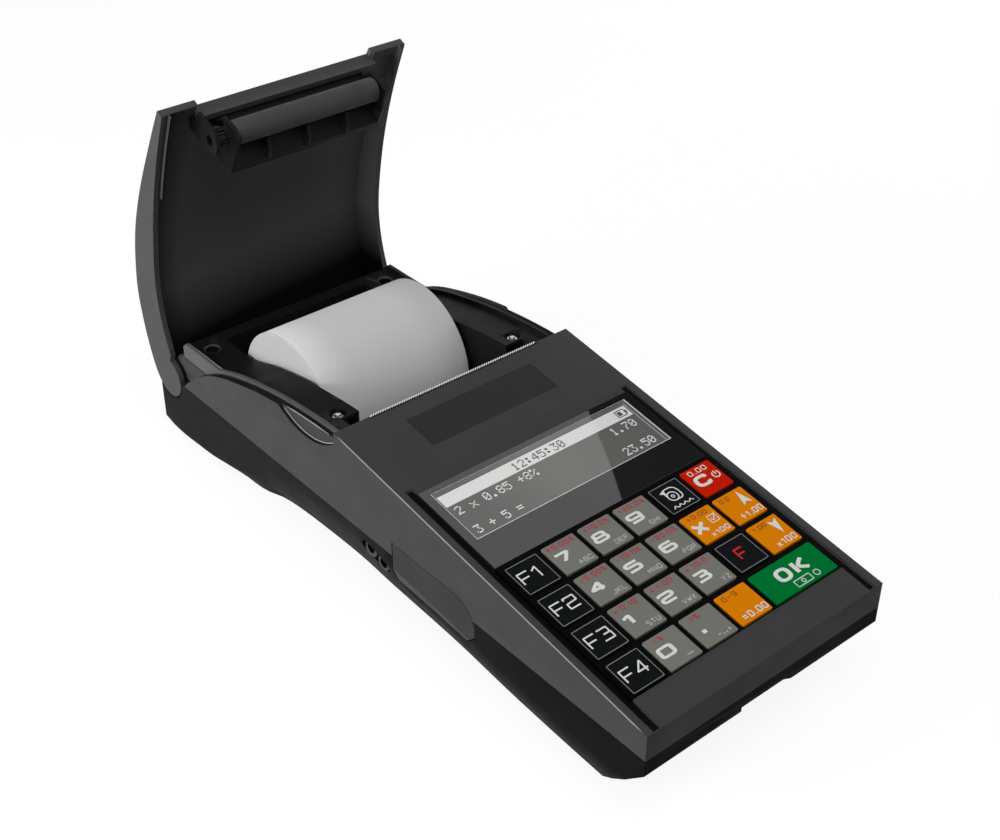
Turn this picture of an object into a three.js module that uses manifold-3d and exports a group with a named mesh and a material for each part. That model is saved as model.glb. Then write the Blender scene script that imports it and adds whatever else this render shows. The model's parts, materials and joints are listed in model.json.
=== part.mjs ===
// A portable cash register. A hand-held case carries a display and a keypad in front, and
// a receipt printer with its paper roll under a hinged lid behind. It stands with the lid open.
// Millimetres. X runs across the case, Y to the rear and Z up. While the pieces are made, zero is
// the middle of the front face on the line where the two case halves meet. At the end the whole
// model moves, so that zero lies on the table under the middle of its bounding box.

import * as THREE from 'three';
import { mergeVertices } from 'three/addons/utils/BufferGeometryUtils.js';
import Module from 'manifold-3d';

const wasm = await Module();
wasm.setup();

// Clearances and walls
const gap = 0.3;              // air between two pieces that meet
const fit = 0.2;              // air round a piece that is laid into its recess
const overrun = 1;            // how far a cut runs past the surface it opens
const wall = 1.9;             // case and lid walls
const floorThickness = 1.8;
const panelThickness = 2.2;   // the sloping front panel

// Paper roll, and the bay that it lies in
const rollRadius = 25.5;
const rollWidth = 57;
const coreRadius = 8.5;
const coreWall = 1.8;
const rollLift = 0.6;         // roll over the floor
const baySideRoom = 1.2;      // air at each end of the roll
const bayFrontRoom = 17.1;
const bayRearRoom = 10.1;
const bayBackGap = 0.5;       // between the bay and the wall under the hinge
const shoulderWidth = 16.8;   // from the bay to the outer face of the case

// The case
const frontHeight = 8.8;      // front face of the upper half
const panelTiltDegrees = 8.82;
const panelRearBand = 7.02;   // panel behind the badge recess
const waistInset = 9.5;       // how far the grip narrows the underside at each side
const noseHeight = 5.5;       // front face of the lower half
const noseLength = 19;        // run of the slope under the nose
const heelRise = 3.6;         // how far the slope under the heel climbs
const heelLength = 15.6;      // and its run
const nosePocketWidth = 20;
const nosePocketLift = 1.5;
const nosePocketDepth = 5.5;

// The lid and its hinge
const hingeInset = 6.1;       // hinge axis, forward of the rear wall
const hingeDrop = 1;          // and under the parting line
const barrelRadius = 7.5;
const troughGap = 0.6;
const lidCrown = 2.3;         // highest point of the closed lid over its front edge
const lidRoom = 0.7;          // air between the closed lid and the roll
const lidSkin = 1.8;
const lidOpenDegrees = 65;
const lidTailDegrees = 30;    // how far the lid's skin wraps below the hinge axis
const barrelStartDegrees = 11.25;
const barrelSweepDegrees = 185.4;
const hingePinRadius = 1.6;
const hingeEarWidth = 1.8;
const hingeEarRadius = 4;
const hingeEarLength = 29;    // ear, forward of the hinge axis
const hingeEarHeight = 7.9;
const earStartDegrees = 36;
const earSweepDegrees = 126;
const lipWidth = 0.6;
const lipDrop = 1.2;
const lipLength = 37;
const lidCornerLength = 4.5;
const lidCornerSetback = 1;
const lidNotchWidth = 2;
const lidNotchDepth = 0.8;
const lidBarSetback = 3.1;
const lidBarThickness = 2.4;
const lidBarDrop = 4.9;       // bar, below the lid's front edge

// Side walls beside the paper bay
const wallArcSetback = 10.1;  // rear end of the arc, forward of the hinge axis
const wallArcDrop = 3.1;      // front end of the arc, under the panel's rear edge
const doorDrop = 2;           // opening for the mechanism, under the arc's front end
const scoopRadius = 24.9;     // thumb scoop, an arc cut into the outer face
const scoopReach = 15.7;      // its middle, behind the panel
const scoopDepth = 1.17;
const scoopDrop = 6.6;        // its lowest point, under the arc's front end

// The printer deck around the paper bay
const deckFrontLength = 10.4; // from the panel to the bay
const deckRearInset = 7;      // rear edge of the deck, forward of the hinge axis
const deckWall = 1.4;
const deckSheet = 1.8;
const rimWidth = 1.4;
const rimProud = 1.8;
const rimStraight = 15.1;     // rim height behind the bay
const rimStraightLength = 18; // level stretch of the rim, forward of the bay's rear
const rimDrop = 2.9;          // front end of the rim, under the panel's rear edge
const rimDepth = 5.9;
const deckScrewInset = 1.15;
const deckScrewSetback = 3.5;
const rearScrewSetback = 2.6;
const rearScrewDepth = 13.1;
const rearBossDepth = 11.6;
const bossRadius = 3.7;
const postRadius = 3.4;
const postFoot = 6.2;         // solid foot of a screw post

// Screws
const screwHeadRadius = 2.45;
const screwHeadHeight = 1.7;
const screwRadius = 1.25;
const deckScrewLength = 18;
const crossWidth = 0.7;
const crossDepth = 0.9;

// Display and keypad, on the panel
const railWidth = 2.5;
const grooveWidth = 2.4;
const grooveDepth = 1.2;
const grooveFront = 0.4;
const grooveTail = 2.5;
const facePlateFront = 10.9;
const facePlateDepth = 1.5;
const lensSpace = 2;
const lensLength = 35.2;
const ledge = 0.4;
const displaySetback = 11.4;
const displayLedge = 2;
const moduleHeight = 2.8;
const badgeSetback = 13.5;
const badgeWidth = 49.7;
const badgeLength = 13.5;
const badgeDepth = 0.3;
const keySpaceX = 1.948;
const keySpaceS = 2.138;
const keyMarginX = 1.27;
const keyMarginS = 0.62;
const keyLength = 11.59;
const keyCorner = 0.4;
const keyProud = 0.5;
const keyTravel = 1;
const keyFlange = 0.6;
const keyFlangeHeight = 0.8;
const bezelThickness = 1.4;
const matThickness = 2;
const boardThickness = 1.6;
const boardInset = 1.6;
const boardFrontSetback = 1.1;
const boardRearReach = 6.5;
const buzzerRadius = 5;
const buzzerHeight = 3;
const memoryWidth = 28;
const memoryLength = 13.2;
const memoryHeight = 5.85;

// Side ports and their cover
const powerJackSetback = 14.5; // forward of the panel's rear edge
const jackSpacing = 6.3;
const powerJackRadius = 3;
const dataJackRadius = 2.6;
const jackBoreRadius = 1.75;
const jackBoreDepth = 8;
const jackPinRadius = 0.6;
const jackRoom = 2.1;
const jackInset = 1.5;
const ioBoardThickness = 1.4;
const ioBoardMargin = 2.7;
const coverSpace = 6.7;
const coverLength = 38.2;
const coverTop = 4.7;
const coverThickness = 2.75;
const coverGap = 0.25;
const socketWidth = 10.8;
const socketHeight = 6.75;
const socketSlotHeight = 3.15;
const socketSlotDrop = 0.9;

// Printer mechanism
const platenRadius = 4;
const platenMargin = 1.5;
const platenDrop = 13.4;      // platen axis, under the panel's rear edge
const shaftRadius = 1.5;
const bearingRadius = 3;      // bushes beside the platen
const bracketGap = 0.5;
const bracketPlate = 1.4;
const bracketRib = 1.2;
const guardPlate = 1.2;
const guardRadius = 4.4;
const guardBridge = 1.3;
const framePlate = 1.2;
const frameGap = 0.4;
const gearGap = 0.7;
const gearModule = 0.4;
const gearWidth = 2.4;
const platenTeeth = 16;
const idlerTeeth = 36;
const pinionTeeth = 14;
const idlerDegrees = 215;
const pinionDegrees = 230;
const backlash = 0.12;
const pocketRoom = 2.8;
const headThickness = 1.6;
const headDrop = 6.1;
const headHeight = 14.5;
const sinkThickness = 2.2;
const headSpringRoom = 6;
const headSpringThickness = 0.4;
const headSpringWidth = 5;
const headSpringLength = 44;
const motorRadius = 7.5;
const motorLength = 13;
const motorRoom = 2.2;
const tearBarReach = 3.3;     // tear bar, past the side of the bay
const tearBarThickness = 0.5;
const tearBarHeight = 5.2;
const toothPitch = 1.1;
const toothHeight = 0.7;

// Battery and feet
const batteryMargin = 0.7;
const batteryLength = 60;
const batteryHeight = 14;
const batteryFront = 30;
const hatchMargin = 2;
const footReach = 2;
const footLength = 7.5;
const footHeight = 2;
const footProud = 1.2;
const frontFootSetback = 20.5;
const rearFootSetback = 25.1;

// Shares
const crossReachShare = 0.7;  // arm of a screw's cross, of the head's radius
const gearRootShare = 1.25;   // depth of a tooth, of the module
const toothShares = [-0.26, -0.1, 0.1, 0.26];
const waistRoundShare = 0.08;
const ribPlaceShare = 0.28;   // outer ribs, of the platen's length

const powerJackShare = 0.25;  // how deep the ports lie, of the base depth
const dataJackShare = 0.325;
const ioBoardShare = 0.4707;
const coverShare = 0.4374;
const coverCornerShare = 0.592; // of the cover's height

// Curve fineness
const arcSteps = 24;
const roundSides = 32;
const smallSides = 16;
const stationCount = 44;

// Places across the case
const bayHalf = rollWidth / 2 + baySideRoom;
const half = bayHalf + shoulderWidth;
const inside = half - wall;
const rimOuter = inside - 2 * lipWidth;
const rimInner = rimOuter - rimWidth;
const rearScrewX = (bayHalf + deckWall + rimInner) / 2;
const deckScrewX = rearScrewX - deckScrewInset;
const grooveOuter = half - railWidth;
const plateHalf = grooveOuter - grooveWidth;
const boardHalfWidth = plateHalf - boardInset;
const platenLength = rollWidth - 2 * platenMargin;
const bracketInner = platenLength / 2 + bracketGap;
const frameInner = bracketInner + bracketPlate + frameGap;
const frameOuter = frameInner + framePlate;
const gearInner = frameOuter + gearGap;
const gearOuter = gearInner + gearWidth;
const pocketReach = gearOuter + pocketRoom;
const tearBarWidth = 2 * (bayHalf + tearBarReach);

// Places along the case
const keyRows = [
  ['key_f1', 'key_7', 'key_8', 'key_9', 'key_feed', 'key_clear'],
  ['key_f2', 'key_4', 'key_5', 'key_6', 'key_multiply', 'key_up'],
  ['key_f3', 'key_1', 'key_2', 'key_3', 'key_function', 'key_down'],
  ['key_f4', 'key_0', 'key_decimal', 'key_subtotal', 'key_ok'],
];
const columns = keyRows[0].length;
const keyWidth = (2 * (plateHalf - keyMarginX) - (columns - 1) * keySpaceX) / columns;
const keyPitchX = keyWidth + keySpaceX;
const keyPitchS = keyLength + keySpaceS;
const keyRearEdge = facePlateFront + keyMarginS + keyRows.length * keyPitchS - keySpaceS;
const lensFront = keyRearEdge + lensSpace;
const facePlateRear = lensFront + lensLength;
const displayFront = lensFront + displaySetback;
const badgeFront = facePlateRear + badgeSetback;
const boardFront = facePlateFront + boardFrontSetback;
const boardRear = facePlateRear + boardRearReach;
const tilt = THREE.MathUtils.degToRad(panelTiltDegrees);
const panelLength = (badgeFront + badgeLength) * Math.cos(tilt) + panelRearBand;
const bayFront = panelLength + deckFrontLength;
const rollY = bayFront + bayFrontRoom + rollRadius;
const bayRear = rollY + rollRadius + bayRearRoom;
const troughRadius = barrelRadius + troughGap;
const hingeY = bayRear + deckWall + bayBackGap + wall + troughRadius;
const caseLength = hingeY + hingeInset;
const deckRear = hingeY - deckRearInset;
const wallArcRear = hingeY - wallArcSetback;
const wallArcLength = wallArcRear - panelLength;
const rimRun = bayRear - rimStraightLength - panelLength;
const lidFront = panelLength + gap;
const platenY = panelLength + platenRadius + gap;
const powerJackY = panelLength - powerJackSetback;
const dataJackY = powerJackY - jackSpacing;
const coverRear = dataJackY - coverSpace;
const coverFront = coverRear - coverLength;

// Heights, from the parting line
const panelZ = (y) => frontHeight + y * Math.tan(tilt);
const hingeZ = -hingeDrop;
const lidEdgeZ = panelZ(panelLength);
const lidRise = lidEdgeZ + lidCrown;
const rollZ = lidRise - lidSkin - lidRoom - rollRadius;
const floorZ = rollZ - rollRadius - rollLift;
const baseDepth = floorThickness - floorZ;
const heelHeight = baseDepth - heelRise;
const powerJackZ = -powerJackShare * baseDepth;
const dataJackZ = -dataJackShare * baseDepth;
const ioBoardTop = -ioBoardShare * baseDepth;
const coverBottom = -coverShare * baseDepth;
const coverCorner = coverCornerShare * (coverTop - coverBottom);
const wallArcHeight = lidEdgeZ - wallArcDrop;
const rimFront = lidEdgeZ - rimDrop;
const platenZ = lidEdgeZ - platenDrop;
const headTop = lidEdgeZ - headDrop;
const headBottom = headTop - headHeight;
const lidOpen = THREE.MathUtils.degToRad(lidOpenDegrees);
const panelFrame = new THREE.Matrix4().makeRotationX(tilt).setPosition(0, 0, frontHeight);

// The gear train. The platen's gear clears the idler by a gap at the tips.
const tipRadius = (teeth) => gearModule * (teeth / 2 + 1);
const idlerAngle = THREE.MathUtils.degToRad(idlerDegrees);
const pinionAngle = THREE.MathUtils.degToRad(pinionDegrees);
const idlerReach = tipRadius(platenTeeth) + tipRadius(idlerTeeth) + gap;
const idlerY = platenY + idlerReach * Math.cos(idlerAngle);
const idlerZ = platenZ + idlerReach * Math.sin(idlerAngle);
const pinionReach = gearModule * (idlerTeeth + pinionTeeth) / 2 + backlash;
const pinionY = idlerY + pinionReach * Math.cos(pinionAngle);
const pinionZ = idlerZ + pinionReach * Math.sin(pinionAngle);
const frameFront = pinionY - motorRadius - gap;
const frameRear = bayFront - 2 * gap;
const framePadZ = pinionZ - motorRadius - motorRoom - framePlate;

// Turning a closed geometry into a solid, and a solid back into a geometry
function toSolid(geometry) {
  const bare = geometry.clone();
  bare.deleteAttribute('normal');
  bare.deleteAttribute('uv');
  const merged = mergeVertices(bare);
  const vertProperties = new Float32Array(merged.attributes.position.array);
  const triVerts = new Uint32Array(merged.index.array);
  return new wasm.Manifold(new wasm.Mesh({ numProp: 3, vertProperties, triVerts }));
}

function toGeometry(solid) {
  const mesh = solid.getMesh();
  const geometry = new THREE.BufferGeometry();
  geometry.setAttribute('position', new THREE.BufferAttribute(mesh.vertProperties, 3));
  geometry.setIndex(new THREE.BufferAttribute(mesh.triVerts, 1));
  geometry.computeVertexNormals();
  return geometry;
}

const join = (...solids) => solids.reduce((whole, piece) => whole.add(piece));
const cut = (body, ...tools) => tools.reduce((rest, tool) => rest.subtract(tool), body);

// Prisms: an outline in one plane, drawn out along the third axis
function prism(points, depth, basis, matrix) {
  const shape = new THREE.Shape(points.map(([a, b]) => new THREE.Vector2(a, b)));
  const geometry = new THREE.ExtrudeGeometry(shape, { depth, bevelEnabled: false });
  geometry.applyMatrix4(basis);
  if (matrix) geometry.applyMatrix4(matrix);
  return toSolid(geometry);
}

const axisX = new THREE.Vector3(1, 0, 0);
const axisY = new THREE.Vector3(0, 1, 0);
const axisZ = new THREE.Vector3(0, 0, 1);

function alongX(points, x0, x1, matrix) {
  const basis = new THREE.Matrix4().makeBasis(axisY, axisZ, axisX).setPosition(x0, 0, 0);
  return prism(points, x1 - x0, basis, matrix);
}

function alongY(points, y0, y1, matrix) {
  const basis = new THREE.Matrix4().makeBasis(axisX, axisZ, axisY.clone().negate()).setPosition(0, y1, 0);
  return prism(points, y1 - y0, basis, matrix);
}

function alongZ(points, z0, z1, matrix) {
  return prism(points, z1 - z0, new THREE.Matrix4().setPosition(0, 0, z0), matrix);
}

function block(x0, x1, y0, y1, z0, z1, matrix) {
  return alongZ([[x0, y0], [x1, y0], [x1, y1], [x0, y1]], z0, z1, matrix);
}

function circle(a, b, radius, sides = roundSides, start = 0, sweep = 2 * Math.PI) {
  const closed = sweep === 2 * Math.PI;
  const count = closed ? sides : sides + 1;
  return Array.from({ length: count }, (_, i) => {
    const angle = start + sweep * i / sides;
    return [a + radius * Math.cos(angle), b + radius * Math.sin(angle)];
  });
}

const rodX = (radius, x0, x1, y, z, sides) => alongX(circle(y, z, radius, sides), x0, x1);
const rodZ = (radius, z0, z1, x, y, sides, matrix) => alongZ(circle(x, y, radius, sides), z0, z1, matrix);

function roundRect(x0, x1, y0, y1, radius, steps = 3) {
  const corner = (x, y, quarter) => circle(x, y, radius, steps, quarter * Math.PI / 2, Math.PI / 2);
  return [
    ...corner(x1 - radius, y1 - radius, 0),
    ...corner(x0 + radius, y1 - radius, 1),
    ...corner(x0 + radius, y0 + radius, 2),
    ...corner(x1 - radius, y0 + radius, 3),
  ];
}

function stadium([ya, za], [yb, zb], radius) {
  const angle = Math.atan2(zb - za, yb - ya);
  return [
    ...circle(yb, zb, radius, smallSides / 2, angle - Math.PI / 2, Math.PI),
    ...circle(ya, za, radius, smallSides / 2, angle + Math.PI / 2, Math.PI),
  ];
}

const smooth = (points, steps = arcSteps) =>
  new THREE.SplineCurve(points.map(([a, b]) => new THREE.Vector2(a, b)))
    .getPoints(steps).map((p) => [p.x, p.y]);

// The same polyline, moved sideways by a distance, to its left as it is walked
function offset(points, distance) {
  return points.map(([a, b], i) => {
    const before = points[Math.max(i - 1, 0)];
    const after = points[Math.min(i + 1, points.length - 1)];
    const length = Math.hypot(after[0] - before[0], after[1] - before[1]);
    const across = [before[1] - after[1], after[0] - before[0]].map((step) => distance * step / length);
    return [a + across[0], b + across[1]];
  });
}

const root = new THREE.Group();
const lid = new THREE.Group();
lid.position.set(0, hingeY, hingeZ);
lid.rotation.x = -lidOpen;
root.add(lid);

function addPart(name, solid, color, roughness, metalness = 0, parent = root) {
  const geometry = solid.isBufferGeometry ? solid : toGeometry(solid);
  if (parent === lid) geometry.translate(0, -hingeY, -hingeZ);
  const mesh = new THREE.Mesh(geometry, new THREE.MeshStandardMaterial({ color, roughness, metalness }));
  mesh.name = name;
  parent.add(mesh);
}

// Screws share one shape: a round head with a cross recess, on a plain shank
function screw(x, y, seat, length) {
  const headTopZ = seat + screwHeadHeight;
  const head = rodZ(screwHeadRadius, seat, headTopZ, x, y, smallSides);
  const shank = rodZ(screwRadius, seat - length, headTopZ - crossDepth, x, y, smallSides);
  const reach = screwHeadRadius * crossReachShare;
  const bars = [[reach, crossWidth / 2], [crossWidth / 2, reach]].map(([a, b]) =>
    block(x - a, x + a, y - b, y + b, headTopZ - crossDepth, headTopZ + overrun));
  return cut(join(head, shank), ...bars);
}

// Spur gears with straight-sided teeth, drawn across Y and Z
function gear(teeth, y, z, toothAngle, bore, x0, x1) {
  const pitchRadius = gearModule * teeth / 2;
  const rootRadius = pitchRadius - gearRootShare * gearModule;
  const step = 2 * Math.PI / teeth;
  const points = [];
  for (let i = 0; i < teeth; i += 1) {
    const middle = toothAngle + i * step;
    toothShares.forEach((share, corner) => {
      const radius = corner % 3 ? tipRadius(teeth) : rootRadius;
      const angle = middle + share * step;
      points.push([y + radius * Math.cos(angle), z + radius * Math.sin(angle)]);
    });
  }
  const body = alongX(points, x0, x1);
  return bore ? cut(body, rodX(bore, x0 - overrun, x1 + overrun, y, z, smallSides)) : body;
}

// Lower case: a tub whose underside narrows to a waist, with sloped nose and heel.
// Each row: place along the case, inset of the underside, and how deep the side stays upright.
const waistShares = [
  [0, 0.45, 0.5], [0.08, 0.47, 0.5], [0.229, 0.61, 0.42], [0.366, 0.82, 0.26], [0.495, 0.92, 0.17],
  [0.569, 1, 0.16], [0.65, 0.97, 0.2], [0.723, 0.86, 0.34], [0.777, 0.52, 0.6], [0.852, 0.42, 0.84],
  [0.935, 0.16, 0.9], [1, 0.1, 0.9],
];
const waistCurve = new THREE.CatmullRomCurve3(waistShares.map((row) => new THREE.Vector3(...row)));
const waistStations = waistCurve.getPoints(stationCount);

function tub(inset) {
  const rings = waistStations.map(({ x: along, y: insetShare, z: uprightShare }) => {
    const y = inset + along * (caseLength - 2 * inset);
    const bottom = inset ? floorZ : -baseDepth;
    const top = inset ? overrun : 0;
    const side = half - inset;
    const lower = side - insetShare * waistInset;
    const upright = -uprightShare * baseDepth;
    const middle = (side + lower) / 2 + insetShare * waistInset * waistRoundShare;
    const outline = [[side, top], [side, upright], [middle, (upright + bottom) / 2], [lower, bottom]];
    return [...outline, ...outline.map(([x, z]) => [-x, z]).reverse()].map(([x, z]) => [x, y, z]);
  });
  return loft(rings);
}

function loft(rings) {
  const size = rings[0].length;
  const positions = rings.flat(2);
  const index = [];
  for (let r = 0; r < rings.length - 1; r += 1) {
    for (let i = 0; i < size; i += 1) {
      const j = (i + 1) % size;
      const a = r * size + i;
      const b = r * size + j;
      index.push(a, a + size, b, b, a + size, b + size);
    }
  }
  const flat = rings[0].map(([x, , z]) => new THREE.Vector2(x, z));
  const last = (rings.length - 1) * size;
  const turn = Math.sign(THREE.ShapeUtils.area(flat));
  THREE.ShapeUtils.triangulateShape([...flat], []).forEach(([a, p, q]) => {
    const same = Math.sign(THREE.ShapeUtils.area([flat[a], flat[p], flat[q]])) === turn;
    const [b, c] = same ? [p, q] : [q, p];
    index.push(a, b, c, last + a, last + c, last + b);
  });
  const geometry = new THREE.BufferGeometry();
  geometry.setAttribute('position', new THREE.Float32BufferAttribute(positions, 3));
  geometry.setIndex(index);
  const solid = toSolid(geometry);
  return solid.volume() > 0 ? solid : toSolid(flipped(geometry));
}

function flipped(geometry) {
  const copy = geometry.clone();
  const index = copy.index.array;
  for (let i = 0; i < index.length; i += 3) [index[i], index[i + 1]] = [index[i + 1], index[i]];
  return copy;
}

// Wedges that slope the underside at the nose and the heel
function underWedges(inset) {
  const nose = [
    [-overrun, -baseDepth - overrun], [-overrun, inset - noseHeight], [inset, inset - noseHeight],
    [noseLength + inset / 2, inset - baseDepth], [noseLength + inset / 2, -baseDepth - overrun],
  ];
  const heelY = caseLength - heelLength - inset / 2;
  const heel = [
    [heelY, -baseDepth - overrun], [heelY, inset - baseDepth], [caseLength - inset, inset - heelHeight],
    [caseLength + overrun, inset - heelHeight], [caseLength + overrun, -baseDepth - overrun],
  ];
  return [nose, heel].map((points) => alongX(points, -half - overrun, half + overrun));
}

const tubOuter = cut(tub(0), ...underWedges(0));
const troughWall = rodX(troughRadius + wall, -half - overrun, half + overrun, hingeY, hingeZ);
const tubInner = cut(tub(wall), ...underWedges(wall), troughWall);
const troughCut = rodX(troughRadius, -half - overrun, half + overrun, hingeY, hingeZ, 2 * roundSides);

// Side port cover outline, in Y and Z, grown by a clearance for its hole
function coverOutline(grow) {
  const frontY = coverFront - grow;
  const topZ = coverTop + grow;
  const radius = coverCorner + grow;
  return [
    [coverRear + grow, coverBottom - grow], [coverRear + grow, topZ],
    ...circle(frontY + radius, topZ - radius, radius, smallSides / 2, Math.PI / 2, Math.PI / 2),
    [frontY, coverBottom + coverCorner / 2],
    [frontY + coverCorner / 2, coverBottom - grow],
  ];
}
const coverHole = alongX(coverOutline(coverGap), -half - overrun, -inside + overrun);

// Bosses and posts in the lower case
const screwHole = screwRadius + gap;
const headHole = screwHeadRadius + gap;
const deckScrewY = bayFront + deckScrewSetback;
const deckScrewSeat = wallArcHeight - rimProud - deckSheet / 2 - screwHeadHeight;
const deckBossBottom = frontHeight;
const rearScrewY = bayRear - rearScrewSetback;
const rearScrewSeat = rimStraight - rearScrewDepth;
const rearBossBottom = rearScrewSeat - rearBossDepth;

function screwPost(x, y, top) {
  const post = rodZ(postRadius, floorZ - floorThickness / 2, top, x, y, smallSides);
  return cut(post, rodZ(screwHole, floorZ + postFoot - overrun, top + overrun, x, y, smallSides));
}

const batteryHalf = bayHalf - batteryMargin;
const batteryRear = batteryFront + batteryLength;
const hatchHalf = batteryHalf - hatchMargin;
const padInset = postRadius + framePlate;
const padSpots = [-1, 1].flatMap((side) =>
  [frameFront + padInset, frameRear - padInset].map((y) => [side * (frameInner - padInset), y]));
const nosePocket = block(-nosePocketWidth / 2, nosePocketWidth / 2, -overrun, nosePocketDepth,
  -baseDepth, nosePocketLift - noseHeight);
const noseBacking = block(-nosePocketWidth / 2 - wall, nosePocketWidth / 2 + wall, wall / 2,
  nosePocketDepth + wall, -baseDepth, nosePocketLift - noseHeight + wall);
const jackOpening = alongX(stadium([dataJackY, dataJackZ], [powerJackY, powerJackZ], powerJackRadius + gap),
  -half - overrun, -half / 2);

const tubReach = join(tubOuter, block(-inside, inside, wall, caseLength - wall, -overrun, lidEdgeZ));
let lowerCase = cut(tubOuter, tubInner);
lowerCase = join(lowerCase, noseBacking.intersect(tubOuter));
[-1, 1].forEach((side) => {
  lowerCase = join(lowerCase,
    screwPost(side * deckScrewX, deckScrewY, deckBossBottom - gap).intersect(tubReach),
    screwPost(side * rearScrewX, rearScrewY, rearBossBottom - gap).intersect(tubReach));
});
padSpots.forEach(([x, y]) => {
  lowerCase = join(lowerCase,
    rodZ(postRadius, floorZ - floorThickness / 2, framePadZ - gap, x, y, smallSides));
});
lowerCase = cut(lowerCase, troughCut, nosePocket, coverHole, jackOpening,
  block(-hatchHalf, hatchHalf, batteryFront + hatchMargin, batteryRear - hatchMargin,
    -baseDepth - overrun, floorZ + overrun),
  block(-batteryHalf, batteryHalf, batteryFront, batteryRear,
    -baseDepth - overrun, -baseDepth + floorThickness / 2));
const footBottom = -baseDepth - footProud;
const footTop = footBottom + footHeight;
const footHalf = batteryHalf + footReach;
const footPlaces = [['front_foot_strip', frontFootSetback],
  ['rear_foot_strip', caseLength - rearFootSetback - footLength]];
footPlaces.forEach(([, y]) => {
  lowerCase = cut(lowerCase, block(-footHalf - gap / 2, footHalf + gap / 2,
    y - gap / 2, y + footLength + gap / 2, -baseDepth - overrun, footTop + gap / 2));
});
addPart('lower_case', lowerCase, 0x232323, 0.62);

// Upper case: a panel that rises to the rear, then a low wall at each side of the paper bay.
// Each row: place along the arc from its rear end, and height.
const wallArcShares = [
  [0, 0], [0.0885, 0.266], [0.176, 0.46], [0.259, 0.592], [0.361, 0.702], [0.499, 0.819],
  [0.62, 0.894], [0.73, 0.942], [0.85, 0.977], [1, 1],
];
const wallArc = smooth(wallArcShares.map(([along, height]) =>
  [wallArcRear - along * wallArcLength, height * wallArcHeight]));
const frontToRear = [...wallArc].reverse();
const sideProfile = [[0, 0], [0, frontHeight], [panelLength, panelZ(panelLength)], ...frontToRear];
const panelSlack = panelThickness / Math.cos(tilt);
const bodyCavity = [
  [wall, -overrun], [wall, panelZ(wall) - panelSlack],
  [panelLength - panelThickness, panelZ(panelLength - panelThickness) - panelSlack],
  [panelLength - panelThickness, -overrun],
];
const bayCavity = [
  [panelLength, -overrun], [panelLength, panelZ(panelLength) + overrun],
  [wallArcRear + overrun, panelZ(panelLength) + overrun], [wallArcRear + overrun, -overrun],
];
const mechanismDoor = wallArcHeight - doorDrop;
const onPanel = (x0, x1, s0, s1, n0, n1) => block(x0, x1, s0, s1, n0, n1, panelFrame);

let upperCase = cut(alongX(sideProfile, -half, half),
  alongX(bodyCavity, -inside, inside),
  alongX(bayCavity, -inside, inside),
  block(-pocketReach, pocketReach, panelLength - 2 * panelThickness, panelLength + overrun,
    -overrun, mechanismDoor),
  block(-tearBarWidth / 2 - fit, tearBarWidth / 2 + fit, panelLength - tearBarThickness - gap,
    panelLength + overrun, mechanismDoor - overrun, lidEdgeZ + overrun),
  onPanel(-plateHalf, plateHalf, facePlateFront, facePlateRear, -facePlateDepth, overrun),
  onPanel(ledge - plateHalf, plateHalf - ledge, facePlateFront + ledge, keyRearEdge + 2 * ledge,
    -panelThickness - overrun, overrun),
  onPanel(displayLedge - plateHalf, plateHalf - displayLedge, displayFront - displayLedge,
    facePlateRear - displayLedge / 2, -panelThickness - overrun, overrun),
  onPanel(-badgeWidth / 2, badgeWidth / 2, badgeFront, badgeFront + badgeLength, -badgeDepth, overrun));
const grooveTop = facePlateRear + grooveTail;
[-1, 1].forEach((side) => {
  const a = side * (plateHalf - ledge);
  const b = side * grooveOuter;
  upperCase = cut(upperCase,
    onPanel(Math.min(a, b), Math.max(a, b), grooveFront, grooveTop, -grooveDepth, overrun));
});

// Two blocks under the panel that carry the rear of the main board
const boardTop = -bezelThickness - gap - keyFlangeHeight - keyTravel - gap - matThickness;
[-1, 1].forEach((side) => {
  const span = [side * (boardHalfWidth - postRadius), side * boardHalfWidth].sort((a, b) => a - b);
  upperCase = join(upperCase,
    onPanel(...span, grooveTop - gap, grooveTop + postRadius, boardTop + gap, -panelThickness / 2));
});

// Inner ears that hold the hinge pins, tied to the side walls by a web
const earOuter = rimOuter;
const earInner = earOuter - hingeEarWidth;
const earStart = THREE.MathUtils.degToRad(earStartDegrees);
const earSweep = THREE.MathUtils.degToRad(earSweepDegrees);
const earProfile = [
  [hingeY - hingeEarLength, 0], [hingeY - hingeEarLength, hingeEarHeight],
  [hingeY - hingeEarRadius + overrun, hingeEarHeight],
  ...circle(hingeY, hingeZ, hingeEarRadius, smallSides, earStart, -earSweep),
  [hingeY - hingeEarRadius - overrun, hingeZ - hingeEarRadius], [hingeY - barrelRadius + gap, 0],
];
const rodEnd = half - wall / 2;
const pinHole = rodX(hingePinRadius + gap / 2, -rodEnd, rodEnd, hingeY, hingeZ, smallSides);
[-1, 1].forEach((side) => {
  const span = [side * earInner, side * earOuter].sort((a, b) => a - b);
  const webSpan = [side * (earOuter - wall / 2), side * (inside + wall / 2)].sort((a, b) => a - b);
  const ear = alongX(earProfile, ...span);
  const web = block(...webSpan, hingeY - hingeEarLength, wallArcRear - wallArcSetback, 0, wall);
  upperCase = join(upperCase, cut(ear, pinHole), web);
});

// Shallow thumb scoops in the outer faces, where the lid is taken hold of
[-1, 1].forEach((side) => {
  const span = [side * (half - scoopDepth), side * (half + overrun)].sort((a, b) => a - b);
  const reach = block(...span, panelLength + gap, wallArcRear,
    wallArcHeight - scoopDrop - overrun, wallArcHeight + overrun);
  upperCase = cut(upperCase, rodX(scoopRadius, ...span, panelLength + scoopReach,
    wallArcHeight - scoopDrop + scoopRadius, 4 * roundSides).intersect(reach));
});
upperCase = cut(upperCase, coverHole);
addPart('upper_case', upperCase, 0x3a3a3a, 0.55);

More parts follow.
